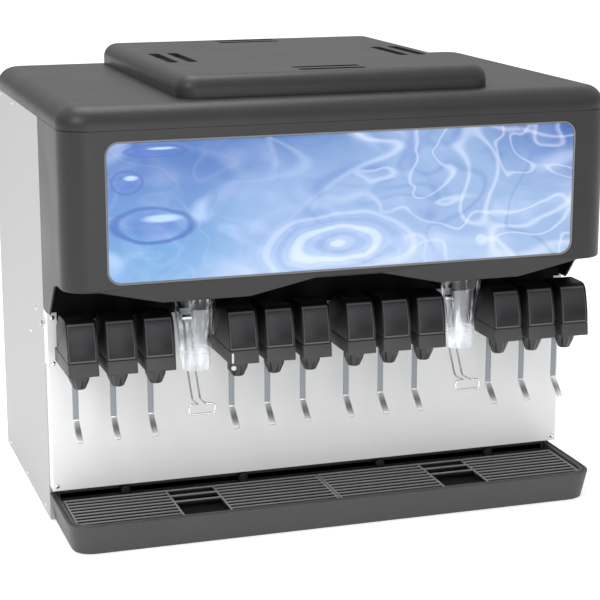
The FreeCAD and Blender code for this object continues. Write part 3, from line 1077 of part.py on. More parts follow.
def make_electrics():
    """Control box in the head, power inlet at the back and key switch at the side."""
    back_y = f"({HEAD_FRONT} + lamp_set + sheet_t)"
    low, high = ("cab_height - box_height - 22", "cab_height - 22")
    case = rounded_block("BoxCase", ("-box_width / 2", "box_width / 2"), (back_y, f"{back_y} + box_depth"),
                         (low, high), "6")
    room = box("BoxRoom", ("-box_width / 2 + sheet_t", "box_width / 2 - sheet_t"),
               (f"{back_y} + sheet_t", f"{back_y} + box_depth - sheet_t"), (f"{low} + sheet_t", f"{high} - sheet_t"))
    node("control_box", cut("ControlBox", case, room))
    flange = box("InletFlange", inlet_span("inlet_x", "(inlet_width + 16)"), (BACK, f"{BACK} + sheet_t"),
                 inlet_span("inlet_z", "(inlet_height + 12)"))
    socket = box("InletSocket", inlet_span("inlet_x", "inlet_width"), (f"{BACK} - 22", f"{BACK} + 1"),
                 inlet_span("inlet_z", "inlet_height"))
    well = box("InletWell", inlet_span("inlet_x", "(inlet_width - 16)"), (f"{BACK} - 16", f"{BACK} + 4"),
               inlet_span("inlet_z", "(inlet_height - 10)"))
    pins = [box(f"InletPin{count}", inlet_span(f"(inlet_x + {across})", "2.4"), (f"{BACK} - 17", f"{BACK} - 4"),
                inlet_span("inlet_z", "6")) for count, across in enumerate((-9, 0, 9), start=1)]
    node("power_inlet", fuse("PowerInlet", cut("InletShell", fuse("InletSolid", flange, socket), well), *pins))

    place = (f"{FRONT} - key_y", "key_z")
    collar = round_bar("KeyCollar", "x", place, "key_r", (f"-{HALF} - 4", f"-{HALF}"))
    case = round_bar("KeyCase", "x", place, "key_bore_r + 2", (f"-{HALF} - 2", f"-{HALF} + key_inside"))
    bore = round_bar("KeyBore", "x", place, "key_bore_r + pin_play", (f"-{HALF} - 5", f"-{HALF} + key_inside - 6"))
    node("key_switch_body", cut("KeySwitchBody", fuse("KeySolid", collar, case), bore))
    barrel = round_bar("KeyBarrelBar", "x", place, "key_bore_r", (f"-{HALF} - key_proud", f"-{HALF} + key_inside - 7"))
    slot = box("KeySlot", (f"-{HALF} - key_proud - 1", f"-{HALF} - key_proud + 3"), inlet_span(f"({place[0]})", "1.6"),
               inlet_span("key_z", "8"))
    node("key_switch_barrel", cut("KeyBarrel", barrel, slot))


def make_fasteners():
    """Heads of the screws and rivets that hold the panels."""
    heads = []
    front_x = f"({HALF} - 10)"
    for sign in ("-", ""):
        for up in ("plate_top - 10", "plate_bottom + 7"):
            heads.append(("y", (f"{sign}{front_x}", up), PANEL))
        heads.append(("y", (f"{sign}{front_x}", "splash_bottom + 10"), f"{PANEL} + sheet_t"))
    for along, up in ((460, 824), (302, 822), (492, 18), (269, 18), (47, 21), (89, 428), (154, 366)):
        for sign in ("-", ""):
            heads.append(("x", (f"{FRONT} + {along}", str(up)), f"{sign}{HALF}"))
    pieces = []
    for count, (axis, place, skin) in enumerate(heads, start=1):
        outwards = "-" if axis == "y" or skin.startswith("-") else "+"
        radii = ("screw_r / 2", "screw_r") if outwards == "-" else ("screw_r", "screw_r / 2")
        span = (f"{skin} - screw_head", skin) if outwards == "-" else (skin, f"{skin} + screw_head")
        pieces.append(round_bar(f"Head{count:02d}", axis, place, radii[0], span, radii[1]))
    node("panel_screws", group("PanelScrews", *pieces))


# ---------------------------------------------------------------- build, check and write
def check_model():
    """Stops if an object failed or a sub-part isn't a valid shape."""
    doc.recompute()
    for item in doc.Objects:
        if "Invalid" in item.State or "Error" in item.State:
            raise ValueError(f"{item.Name} failed: {item.State}")
    for item in nodes:
        if item.Shape.isNull() or not item.Shape.isValid() or not item.Shape.Solids:
            raise ValueError(f"{item.Label} has no valid shape")


def write_parts():
    """Writes each sub-part to a file named after it."""
    os.makedirs("parts", exist_ok=True)
    for item in nodes:
        item.Shape.exportStep(f"parts/{item.Label}.step")
        print(f"{item.Label:22s} {len(item.Shape.Solids):3d} solids {item.Shape.Volume / 1000:10.1f} cm3")
    print(f"{len(nodes)} sub-parts")


fill_sheet()
make_cabinet()
make_front_panels()
make_head()
make_graphic()
make_top()
make_bin()
make_agitator()
make_ice_ways()
make_bail_brackets()
make_valves()
make_tray()
make_cup_rests()
make_plumbing()
make_electrics()
make_fasteners()
check_model()
write_parts()
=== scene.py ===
import json
import logging
import math
from collections.abc import Iterable, Sequence
from dataclasses import dataclass
from enum import Enum

import bmesh
import bpy
import numpy as np
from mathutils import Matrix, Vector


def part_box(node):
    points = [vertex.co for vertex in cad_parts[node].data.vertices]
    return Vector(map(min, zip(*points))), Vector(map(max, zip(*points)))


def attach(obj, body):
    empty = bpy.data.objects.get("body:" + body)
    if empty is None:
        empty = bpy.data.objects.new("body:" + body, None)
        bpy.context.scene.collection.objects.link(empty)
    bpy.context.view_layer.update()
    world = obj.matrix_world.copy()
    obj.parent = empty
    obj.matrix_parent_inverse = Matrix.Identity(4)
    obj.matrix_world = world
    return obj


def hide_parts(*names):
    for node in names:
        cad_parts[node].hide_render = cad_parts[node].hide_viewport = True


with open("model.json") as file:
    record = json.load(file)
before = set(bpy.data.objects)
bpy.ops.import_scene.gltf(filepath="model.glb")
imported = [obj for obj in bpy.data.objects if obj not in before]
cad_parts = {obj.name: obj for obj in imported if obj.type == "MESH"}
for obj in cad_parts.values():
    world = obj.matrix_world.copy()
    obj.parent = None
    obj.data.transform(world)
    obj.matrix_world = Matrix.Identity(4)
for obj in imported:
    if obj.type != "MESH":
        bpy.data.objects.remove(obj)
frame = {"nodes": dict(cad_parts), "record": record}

Array = np.ndarray
Colour = tuple[float, float, float]
log = logging.getLogger("dispenser")

MM = 0.001
FRONT = -0.151          # front edge of the side panels
HALF_WIDTH = 0.559
HEAD_FRONT = -0.395
PANEL_FRONT = -0.190
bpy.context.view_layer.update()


class Way(Enum):
    """Axis that a shape is carried along or turned about."""

    X = 0
    Y = 1
    Z = 2

    def place(self, across: Array, up: Array, along: Array) -> Array:
        """Puts two sizes across the axis and one along it into row coordinates."""
        order = {Way.X: (along, across, up), Way.Y: (across, along, up), Way.Z: (across, up, along)}
        return np.stack(np.broadcast_arrays(*order[self]), axis=-1)


# ------------------------------------------------------------------ shader maths
class Value:
    """A number in a material: arithmetic on it adds Math nodes."""

    def __init__(self, shader: "Shader", socket: bpy.types.NodeSocket) -> None:
        self.shader = shader
        self.socket = socket

    def _math(self, operation: str, *terms: "Value | float") -> "Value":
        """One Math node on the terms."""
        node = self.shader.node("ShaderNodeMath", {"operation": operation}, dict(enumerate(terms)))
        return Value(self.shader, node.outputs[0])

    def __add__(self, other: "Value | float") -> "Value":
        """self + other."""
        return self._math("ADD", self, other)

    __radd__ = __add__

    def __sub__(self, other: "Value | float") -> "Value":
        """self - other."""
        return self._math("SUBTRACT", self, other)

    def __rsub__(self, other: "Value | float") -> "Value":
        """other - self."""
        return self._math("SUBTRACT", other, self)

    def __mul__(self, other: "Value | float") -> "Value":
        """self * other."""
        return self._math("MULTIPLY", self, other)

    __rmul__ = __mul__

    def __truediv__(self, other: "Value | float") -> "Value":
        """self / other."""
        return self._math("DIVIDE", self, other)

    def __pow__(self, other: "Value | float") -> "Value":
        """self ** other."""
        return self._math("POWER", self, other)

    def __abs__(self) -> "Value":
        """Distance from zero."""
        return self._math("ABSOLUTE", self)

    def smooth(self, low: float, high: float) -> "Value":
        """0 below low, 1 above high, and an even slope between them."""
        settings = {"interpolation_type": "SMOOTHSTEP"}
        node = self.shader.node("ShaderNodeMapRange", settings,
                                {"Value": self, "From Min": low, "From Max": high})
        return Value(self.shader, node.outputs["Result"])


class Shader:
    """A material under construction, with one Principled surface."""

    def __init__(self, name: str) -> None:
        self.material = bpy.data.materials.new(name)
        self.material.use_nodes = True
        self.tree = self.material.node_tree
        self.surface = next(n for n in self.tree.nodes if n.type == "BSDF_PRINCIPLED")

    def node(self, kind: str, settings: dict | None = None, inputs: dict | None = None) -> bpy.types.Node:
        """Adds a node.

        Args:
            kind: the node's type name.
            settings: its properties, set before its sockets.
            inputs: number, colour, socket or Value for each socket, by name or index.
        """
        made = self.tree.nodes.new(kind)
        for key, value in (settings or {}).items():
            setattr(made, key, value)
        for key, value in (inputs or {}).items():
            self.feed(made.inputs[key], value)
        return made

    def feed(self, socket: bpy.types.NodeSocket, value: object) -> None:
        """Links a Value or socket into a socket, or sets its plain value."""
        value = value.socket if isinstance(value, Value) else value
        if isinstance(value, bpy.types.NodeSocket):
            self.tree.links.new(value, socket)
        else:
            socket.default_value = value

    def set(self, **values: object) -> None:
        """Feeds sockets of the surface, named with underscores for spaces."""
        for name, value in values.items():
            self.feed(self.surface.inputs[name.replace("_", " ")], value)

    def place(self, scale: Colour = (1, 1, 1), turn: Colour = (0, 0, 0),
              move: Colour = (0, 0, 0)) -> bpy.types.NodeSocket:
        """Object coordinates in metres, moved, turned and scaled."""
        source = self.node("ShaderNodeTexCoord").outputs["Object"]
        inputs = {"Vector": source, "Location": move, "Rotation": turn, "Scale": scale}
        return self.node("ShaderNodeMapping", None, inputs).outputs[0]

    def axes(self) -> tuple[Value, Value, Value]:
        """Object coordinates as three numbers, in metres."""
        source = self.node("ShaderNodeTexCoord").outputs["Object"]
        parts = self.node("ShaderNodeSeparateXYZ", None, {0: source})
        return tuple(Value(self, parts.outputs[index]) for index in range(3))

    def noise(self, scale: float, detail: float = 3.0, vector: object = None, warp: float = 0.0) -> Value:
        """Cloudy pattern between 0 and 1, curled by the warp."""
        inputs = {"Vector": vector or self.place(), "Scale": scale, "Detail": detail, "Distortion": warp}
        return Value(self, self.node("ShaderNodeTexNoise", None, inputs).outputs[0])

    def mix(self, factor: object, first: object, second: object, blend: str = "MIX") -> bpy.types.NodeSocket:
        """Blend of two colours."""
        node = self.node("ShaderNodeMix", {"data_type": "RGBA", "blend_type": blend})
        self.feed(node.inputs["Factor"], factor)
        for key, colour in ((6, first), (7, second)):
            self.feed(node.inputs[key], (*colour, 1.0) if isinstance(colour, tuple) else colour)
        return node.outputs[2]

    def bump(self, height: Value, distance: float, strength: float = 1.0) -> None:
        """Fine relief on the surface; distance is the relief's depth in metres."""
        inputs = {"Height": height, "Distance": distance, "Strength": strength}
        self.set(Normal=self.node("ShaderNodeBump", None, inputs).outputs[0])


# ------------------------------------------------------------------ finishes
@dataclass(frozen=True)
class Grained:
    """Moulded plastic or powder coat with a fine grain and faint clouds."""

    name: str
    colour: Colour
    rough: float = 0.5
    grain: float = 0.00012
    size: float = 900.0
    cloud: float = 0.25
    gloss: float = 0.5

    def paint(self) -> bpy.types.Material:
        """Base colour varied by clouds and specks, and a grain relief."""
        shader = Shader(self.name)
        clouds = shader.noise(9.0, 4.0)
        specks = shader.noise(self.size * 0.55, 2.0)
        light = tuple(c * (1 + self.cloud) + 0.004 for c in self.colour)
        deep = tuple(c * (1 - self.cloud) for c in self.colour)
        blend = clouds * 0.45 + specks * 0.55
        shader.set(Base_Color=shader.mix(blend, deep, light), Roughness=clouds * 0.16 + (self.rough - 0.08),
                   Specular_IOR_Level=self.gloss)
        shader.bump(shader.noise(self.size, 2.0), self.grain)
        return shader.material


@dataclass(frozen=True)
class PaintedLightByHeight:
    """Plastic whose tone changes with height, as painted light and shade: painted light on the tops of the
    grille's bars, painted shade on their sides, and painted shade darkening the valve covers towards the
    head.
    """

    name: str
    low: float
    high: float
    top: Colour
    bottom: Colour = (0.008, 0.008, 0.008)
    rough: float = 0.4
    gloss: float = 0.5

    def paint(self) -> bpy.types.Material:
        """Colour runs from bottom to top between two heights as painted light and shade, with specks."""
        shader = Shader(self.name)
        specks = shader.noise(420.0, 2.0)
        # The rise in tone with height is painted light and shade, not the plastic's own colour.
        rise = shader.axes()[2].smooth(self.low, self.high)
        shader.set(Base_Color=shader.mix(rise * (specks * 0.3 + 0.85), self.bottom, self.top),
                   Roughness=specks * 0.12 + (self.rough - 0.06), Specular_IOR_Level=self.gloss)
        shader.bump(shader.noise(700.0, 2.0), 0.00012)
        return shader.material


@dataclass(frozen=True)
class Brushed:
    """Stainless sheet brushed along one axis, with faint clouds."""

    name: str
    colour: Colour = (0.78, 0.78, 0.775)
    rough: float = 0.42
    metal: float = 0.55
    along: Way = Way.X

    def paint(self) -> bpy.types.Material:
        """Long thin streaks along the axis vary colour, roughness and relief."""
        shader = Shader(self.name)
        scale = [1400.0, 1400.0, 1400.0]
        scale[self.along.value] = 14.0
        streaks = shader.noise(1.0, 3.0, shader.place(scale=tuple(scale)))
        clouds = shader.noise(4.0, 3.0)
        deep = tuple(c * 0.93 for c in self.colour)
        light = tuple(min(1.0, c * 1.04) for c in self.colour)
        shader.set(Base_Color=shader.mix(streaks * 0.6 + clouds * 0.4, deep, light), Metallic=self.metal,
                   Roughness=streaks * 0.14 + clouds * 0.06 + (self.rough - 0.1))
        shader.bump(streaks, 0.00002)
        return shader.material


@dataclass(frozen=True)
class Polished:
    """Bright metal with faint handling marks."""

    name: str
    colour: Colour = (0.72, 0.73, 0.74)
    rough: float = 0.16
    metal: float = 1.0

    def paint(self) -> bpy.types.Material:
        """Roughness and colour vary a little over the surface."""
        shader = Shader(self.name)
        marks = shader.noise(160.0, 3.0)
        deep = tuple(c * 0.9 for c in self.colour)
        shader.set(Base_Color=shader.mix(marks, deep, self.colour), Metallic=self.metal,
                   Roughness=marks * 0.12 + (self.rough - 0.05))
        shader.bump(shader.noise(700.0, 2.0), 0.000015)
        return shader.material


@dataclass(frozen=True)
class Clear:
    """See-through plastic with painted highlights as bright streaks, and a milky lower part that glows with
    painted light.
    """

    name: str
    frost_top: float
    colour: Colour = (0.97, 0.98, 1.0)

    def paint(self) -> bpy.types.Material:
        """Upright streaks glow a little as painted highlights, the milky part glows a little as painted
        light, and the milky part is rougher.
        """
        shader = Shader(self.name)
        height = shader.axes()[2]
        streaks = shader.noise(130.0, 2.0, shader.place(scale=(1, 1, 0.16)))
        bands = shader.noise(60.0, 2.0, shader.place(scale=(0.35, 0.35, 1)))
        frost = 1 - (height + (bands - 0.5) * 0.03).smooth(self.frost_top - 0.02, self.frost_top + 0.012)
        # The emitted glow is painted: painted highlights on the streaks and painted light on the milky part.
        painted_light_mask = streaks.smooth(0.60, 0.72) * 0.75 + frost * (streaks.smooth(0.35, 0.6) * 0.22 + 0.10)
        glow = shader.mix(painted_light_mask, (0.0, 0.0, 0.0), (0.95, 0.97, 1.0))
        shader.set(Base_Color=(*self.colour, 1.0), Transmission_Weight=1.0, IOR=1.30, Emission_Color=glow,
                   Emission_Strength=0.40, Roughness=frost * 0.24 + streaks * 0.04 + 0.02)
        shader.bump(bands, 0.0003)
        return shader.material


@dataclass(frozen=True)
class Inset:
    """Satin plate on the valves' fronts, with a painted highlight across its upper half."""

    name: str
    low: float
    middle: float
    high: float
    painted_sheen: Colour = (0.085, 0.085, 0.092)
    edge: Colour = (0.008, 0.008, 0.009)

    def paint(self) -> bpy.types.Material:
        """Colour rises from the edge tone to the painted highlight and falls again, with height."""
        shader = Shader(self.name)
        height = shader.axes()[2]
        specks = shader.noise(800.0, 2.0)
        # The band across the upper half is a painted highlight.
        painted_sheen = height.smooth(self.low, self.middle) * (1 - height.smooth(self.middle, self.high))
        shader.set(Base_Color=shader.mix(painted_sheen + (specks - 0.5) * 0.06, self.edge, self.painted_sheen),
                   Roughness=specks * 0.08 + 0.26,
                   Specular_IOR_Level=0.25)
        shader.bump(specks, 0.00003)
        return shader.material


@dataclass(frozen=True)
class Foot:
    """Bright steel of the bent feet with a painted reflection: light at the bend and the tip, grey between.
    """

    name: str
    heights: tuple[float, float, float]

    def paint(self) -> bpy.types.Material:
        """Colour falls from the tip to the middle height and rises to the bend, as a painted reflection."""
        shader = Shader(self.name)
        low, middle, high = self.heights
        height = shader.axes()[2]
        marks = shader.noise(240.0, 2.0)
        # Light at the bend and the tip is a painted reflection; the marks add handling marks.
        light = (1 - height.smooth(low, middle)) + height.smooth(middle, high) + (marks - 0.5) * 0.2
        shader.set(Base_Color=shader.mix(light, (0.30, 0.31, 0.32), (0.92, 0.93, 0.94)), Metallic=0.45,
                   Roughness=marks * 0.1 + 0.2)
        shader.bump(marks, 0.00002)
        return shader.material


@dataclass(frozen=True)
class Water:
    """Lit panel with a plain pattern of blue and white water."""

    name: str
    half_width: float
    middle: float
    half_height: float

    def paint(self) -> bpy.types.Material:
        """Blue fades to pale violet, with curling streaks, rings and drops over it."""
        shader = Shader(self.name)
        x, _, z = shader.axes()
        across = x / self.half_width
        up = (z - self.middle) / self.half_height
        sway = shader.noise(3.2, 3.0) - 0.5
        slow = shader.noise(1.7, 2.0, shader.place(move=(0.7, 0.2, 0.4))) - 0.5
        sky = shader.mix((up + slow * 1.6).smooth(-0.9, 0.9), (0.125, 0.29, 0.53), (0.030, 0.115, 0.36))
        pale = (across + sway * 1.2 - up * 0.2).smooth(-0.85, 0.1)
        base = shader.mix(pale, sky, (0.25, 0.365, 0.585))
        foot = (slow * 1.2 + sway * 0.8 - up * 1.0 - abs(across - 0.05) * 0.8).smooth(0.05, 1.0)
        base = shader.mix(foot * 0.85, base, (0.47, 0.575, 0.74))
        corner = (across + up * 0.35 + sway * 0.9).smooth(0.80, 1.35)
        base = shader.mix(corner * 0.9, base, (0.02, 0.08, 0.36))
        swirl = shader.noise(3.4, 2.0, shader.place(scale=(1, 1, 1.6), move=(0.3, 0.1, 0.2)), 1.6)
        base = shader.mix(swirl.smooth(0.5, 0.78) * 0.55, base, (0.56, 0.64, 0.86))
        base = shader.mix((1 - swirl.smooth(0.25, 0.46)) * 0.5, base, (0.06, 0.14, 0.42))
        right = (across + up * 0.3).smooth(-0.25, 0.45)
        for scale, move, bright in ((3.6, (1.1, 0.4, 0.9), True), (5.0, (0.2, 1.4, 2.2), False),
                                    (7.5, (3.1, 0.7, 0.1), True)):
            line = self._ridge(shader, scale, move)
            tint = (0.88, 0.92, 1.0) if bright else (0.07, 0.15, 0.44)
            base = shader.mix(line * (right * 0.24 + 0.04), base, tint)
        for drop in ((-0.392, 0.650, 0.082, 0.034), (-0.437, 0.733, 0.030, 0.022),
                     (-0.385, 0.790, 0.060, 0.012)):
            base = self._drop(shader, base, x, z, *drop)
        base = self._rings(shader, base, x, z)
        shader.set(Base_Color=base, Emission_Color=base, Emission_Strength=0.06, Roughness=0.18)
        shader.bump(shader.noise(5.0, 2.0), 0.0002)
        return shader.material

    def _ridge(self, shader: Shader, scale: float, move: Colour) -> Value:
        """Thin curling lines where curled noise passes a half."""
        clouds = shader.noise(scale, 0.6, shader.place(scale=(1, 1, 1.5), move=move), 0.9)
        return (1 - abs(clouds - 0.5).smooth(0.0, 0.045)) ** 1.6

    def _drop(self, shader: Shader, base: object, x: Value, z: Value, cx: float, cz: float, wide: float,
              high: float) -> object:
        """Oval drop: a dark rim round d = 1, a deep middle and a bright crescent above."""
        wobble = shader.noise(11.0, 2.0) * 0.5 - 0.25
        far = (((x - cx) / wide) ** 2.0 + ((z - cz) / high) ** 2.0) ** 0.5 + wobble
        rim = 1 - abs(far - 0.95).smooth(0.03, 0.17)
        base = shader.mix((1 - far.smooth(0.35, 0.95)) * 0.6, base, (0.035, 0.11, 0.42))
        base = shader.mix(rim * 0.75, base, (0.03, 0.09, 0.36))
        lift = (((x - cx - wide * 0.25) / (wide * 0.5)) ** 2.0
                + ((z - cz - high * 0.35) / (high * 0.25)) ** 2.0) ** 0.5
        return shader.mix((1 - lift.smooth(0.4, 1.2)) * 0.6, base, (0.55, 0.72, 0.95))

    def _rings(self, shader: Shader, base: object, x: Value, z: Value) -> object:
        """Ripples: rings round a place low on the panel that fade with distance."""
        far = (((x + 0.03) / 2.2) ** 2.0 + (z - 0.592) ** 2.0) ** 0.5 + (shader.noise(6.0, 2.0) - 0.5) * 0.07
        wave = Value(shader, shader.node("ShaderNodeMath", {"operation": "SINE"},
                                         {0: far * 210.0}).outputs[0])
        fade = (1 - far.smooth(0.03, 0.11)) * 0.35
        base = shader.mix(wave.smooth(0.3, 1.0) * fade, base, (0.80, 0.85, 1.0))
        return shader.mix((1 - wave.smooth(-1.0, -0.4)) * fade, base, (0.14, 0.24, 0.55))


@dataclass(frozen=True)
class Lamp:
    """Opal tube that glows a little."""

    name: str

    def paint(self) -> bpy.types.Material:
        """Even white with faint clouds."""
        shader = Shader(self.name)
        clouds = shader.noise(20.0)
        colour = shader.mix(clouds, (0.88, 0.9, 0.92), (0.97, 0.98, 1.0))
        shader.set(Base_Color=colour, Emission_Color=colour, Emission_Strength=0.5, Roughness=0.25)
        return shader.material


# ------------------------------------------------------------------ shapes
def rounded(corners: Sequence[Sequence[float]], radii: float | Sequence[float], steps: int = 6,
            closed: bool = True) -> Array:
    """Outline or path with its corners rounded.

    Each corner C turns into the curve (1-t)^2 A + 2t(1-t) C + t^2 B, whose ends A and B lie a radius away
    from C on its two sides.

    Args:
        corners: points in two or three dimensions.
        radii: how far each rounding reaches, in metres.
        steps: pieces of each rounding.
        closed: False keeps both ends as they are.
    """
    points = np.asarray(corners, float)
    reach = np.broadcast_to(np.asarray(radii, float), len(points))
    before = np.roll(points, 1, axis=0) - points
    after = np.roll(points, -1, axis=0) - points
    back = np.linalg.norm(before, axis=1)
    ahead = np.linalg.norm(after, axis=1)
    share = np.minimum(reach, 0.499 * np.minimum(back, ahead))[:, None]
    start = points + before / back[:, None] * share
    end = points + after / ahead[:, None] * share
    t = np.linspace(0, 1, steps + 1)[None, :, None]
    curve = (1 - t) ** 2 * start[:, None] + 2 * t * (1 - t) * points[:, None] + t ** 2 * end[:, None]
    if closed:
        return curve.reshape(-1, points.shape[1])
    return np.concatenate([points[:1], curve[1:-1].reshape(-1, points.shape[1]), points[-1:]])


def shrunk(outline: Array, inset: float) -> Array:
    """Closed outline moved inwards: each point goes against its outward normal by the inset."""
    course = np.roll(outline, -1, axis=0) - np.roll(outline, 1, axis=0)
    course /= np.maximum(np.linalg.norm(course, axis=1, keepdims=True), 1e-12)
    x, y = outline[:, 0], outline[:, 1]
    turning = np.sign(np.sum(x * np.roll(y, -1) - np.roll(x, -1) * y))
    outward = np.stack([course[:, 1], -course[:, 0]], axis=1) * turning
    return outline - outward * inset


def oblong(half: float, high: float, radius: float, steps: int = 8) -> Array:
    """Rectangle about the origin with rounded corners, counter-clockwise."""
    turn = np.linspace(0, math.pi / 2, steps + 1)[None, :] + np.arange(4)[:, None] * math.pi / 2
    mid_x = np.array([1, -1, -1, 1])[:, None] * (half - radius)
    mid_y = np.array([1, 1, -1, -1])[:, None] * (high - radius)
    return np.stack([mid_x + radius * np.cos(turn), mid_y + radius * np.sin(turn)], axis=-1).reshape(-1, 2)


class Skin:
    """Points and faces of a piece that is being put together."""

    def __init__(self) -> None:
        self.points: list[Array] = []
        self.faces: list[list[int]] = []
        self.count = 0

    def grid(self, points: Array, wrap_u: bool = False, wrap_v: bool = False) -> Array:
        """Quads over points[u, v], joined end to end where it wraps; returns the points' numbers."""
        rows, columns = points.shape[:2]
        numbers = self.count + np.arange(rows * columns).reshape(rows, columns)
        ring = np.concatenate([numbers, numbers[:1]], axis=0) if wrap_u else numbers
        ring = np.concatenate([ring, ring[:, :1]], axis=1) if wrap_v else ring
        quads = np.stack([ring[:-1, :-1], ring[1:, :-1], ring[1:, 1:], ring[:-1, 1:]], axis=-1).reshape(-1, 4)
        self.points.append(points.reshape(-1, 3))
        self.faces.extend(quads.tolist())
        self.count += rows * columns
        return numbers

    def loft(self, rings: Array, first: bool = True, last: bool = True) -> None:
        """Closed rings[k, n] joined in turn, with flat ends where asked."""
        numbers = self.grid(rings, wrap_v=True)
        if first:
            self.faces.append(numbers[0][::-1].tolist())
        if last:
            self.faces.append(numbers[-1].tolist())

    def carry(self, outline: Array, way: Way, span: tuple[float, float], ease: float, steps: int = 3) -> None:
        """Closed outline carried along an axis, its two rims rounded by the ease.

        Ring k of a rim lies ease (1 - sin a) inside the outline and ease (1 - cos a) from the end,
        with a from 0 to a quarter turn.
        """
        turn = np.linspace(0, math.pi / 2, steps + 1)
        inset = ease * (1 - np.sin(turn))
        along = ease * (1 - np.cos(turn))
        low, high = span
        insets = np.concatenate([inset, inset[::-1]])
        places = np.concatenate([low + along, high - along[::-1]])
        rings = [way.place(*shrunk(outline, d).T, np.full(len(outline), w)) for d, w in zip(insets, places)]
        self.loft(np.stack(rings))

    def turned(self, profile: Sequence[Sequence[float]], way: Way, middle: Sequence[float], steps: int = 32,
               ripple: tuple[int, float] = (0, 0.0)) -> None:
        """Profile of (radius, place along) turned about an axis; radius r becomes r (1 + share cos(count a)).

        Args:
            profile: from end to end; an end off the axis gets a flat lid.
            way: the axis.
            middle: the axis' place in the other two directions.
            steps: sides.
            ripple: count and share of flutes.
        """
        radius, along = np.asarray(profile, float).T
        angle = np.linspace(0, 2 * math.pi, steps, endpoint=False)
        wave = 1 + ripple[1] * np.cos(ripple[0] * angle)
        spread = np.maximum(radius, 1e-6)[:, None] * wave[None, :]
        across = middle[0] + spread * np.cos(angle)
        up = middle[1] + spread * np.sin(angle)
        self.loft(way.place(across, up, np.repeat(along[:, None], steps, axis=1)))

    def tube(self, path: Array, radius: float, steps: int = 10) -> None:
        """Round wire along a path, kept from twisting by a fixed side direction."""
        course = np.gradient(path, axis=0)
        course /= np.linalg.norm(course, axis=1, keepdims=True)
        side = np.cross(course, (0.31, 0.85, 0.42))
        side /= np.linalg.norm(side, axis=1, keepdims=True)
        other = np.cross(course, side)
        angle = np.linspace(0, 2 * math.pi, steps, endpoint=False)[None, :, None]
        rings = path[:, None] + radius * (np.cos(angle) * side[:, None] + np.sin(angle) * other[:, None])
        self.loft(rings)

    def copied(self, moves: Iterable[Sequence[float]]) -> "Skin":
        """The same shape at each move."""
        whole = Skin()
        points = np.concatenate(self.points)
        for move in moves:
            whole.faces.extend([[n + whole.count for n in face] for face in self.faces])
            whole.points.append(points + np.asarray(move, float))
            whole.count += len(points)
        return whole

    def join(self, other: "Skin") -> None:
        """Takes in another shape."""
        self.faces.extend([[n + self.count for n in face] for face in other.faces])
        self.points.extend(other.points)
        self.count += other.count

    def piece(self, name: str, body: str, slot: str, material: bpy.types.Material, *nodes: str,
              crease: float = 32.0) -> bpy.types.Object:
        """Makes the mesh, with faces outwards, and puts it on its body in place of CAD nodes."""
        mesh = bpy.data.meshes.new(name)
        mesh.from_pydata(np.concatenate(self.points).tolist(), [], self.faces)
        edit = bmesh.new()
        edit.from_mesh(mesh)
        bmesh.ops.remove_doubles(edit, verts=edit.verts, dist=2e-6)
        bmesh.ops.recalc_face_normals(edit, faces=edit.faces)
        edit.to_mesh(mesh)
        edit.free()
        return settle(bpy.data.objects.new(name, mesh), body, material, nodes, crease)


def settle(item: bpy.types.Object, body: str, material: bpy.types.Material, nodes: Sequence[str],
           crease: float) -> bpy.types.Object:
    """Links a piece, shades it smooth up to the crease angle, gives it its material, puts it on its body and
    hides the CAD nodes it replaces.
    """
    bpy.context.scene.collection.objects.link(item)
    item.data.shade_smooth()
    item.data.set_sharp_from_angle(angle=math.radians(crease))
    item.data.materials.clear()
    item.data.materials.append(material)
    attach(item, body)
    if nodes:
        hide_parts(*nodes)
    log.info("%s: %d faces on %s", item.name, len(item.data.polygons), body)
    return item


def eased(node: str, material: bpy.types.Material, width: float = 0.0,
          crease: float = 32.0) -> bpy.types.Object:
    """Piece with a CAD node's shape, merged, and with its sharp edges rounded by a bevel."""
    mesh = frame["nodes"][node].data.copy()
    edit = bmesh.new()
    edit.from_mesh(mesh)
    bmesh.ops.remove_doubles(edit, verts=edit.verts, dist=2e-6)
    bmesh.ops.dissolve_limit(edit, angle_limit=math.radians(0.5), verts=edit.verts, edges=edit.edges)
    edit.to_mesh(mesh)
    edit.free()
    item = settle(bpy.data.objects.new(f"{node}_skin", mesh), BODY_OF[node], material, (node,), crease)
    if width:
        bevel = item.modifiers.new("ease", "BEVEL")
        bevel.width = width
        bevel.segments = 2
        bevel.limit_method = "ANGLE"
        bevel.angle_limit = math.radians(40)
        bevel.use_clamp_overlap = True
        bevel.harden_normals = True
    return item


def dress(material: bpy.types.Material, *nodes: str) -> None:
    """Gives CAD nodes that stay as they are a material."""
    for node in nodes:
        data = frame["nodes"][node].data
        data.materials.clear()
        data.materials.append(material)


def middle_x(node: str) -> float:
    """Place of a CAD node's middle along X."""
    low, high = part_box(node)
    return (low.x + high.x) / 2


BODY_OF = {n: body for body, names in frame["record"]["behaviour"]["bodies"].items() for n in names}
LEVERS = [f"valve_lever_{count:02d}" for count in range(1, 13)]
VALVE_X = [middle_x(node) for node in LEVERS]


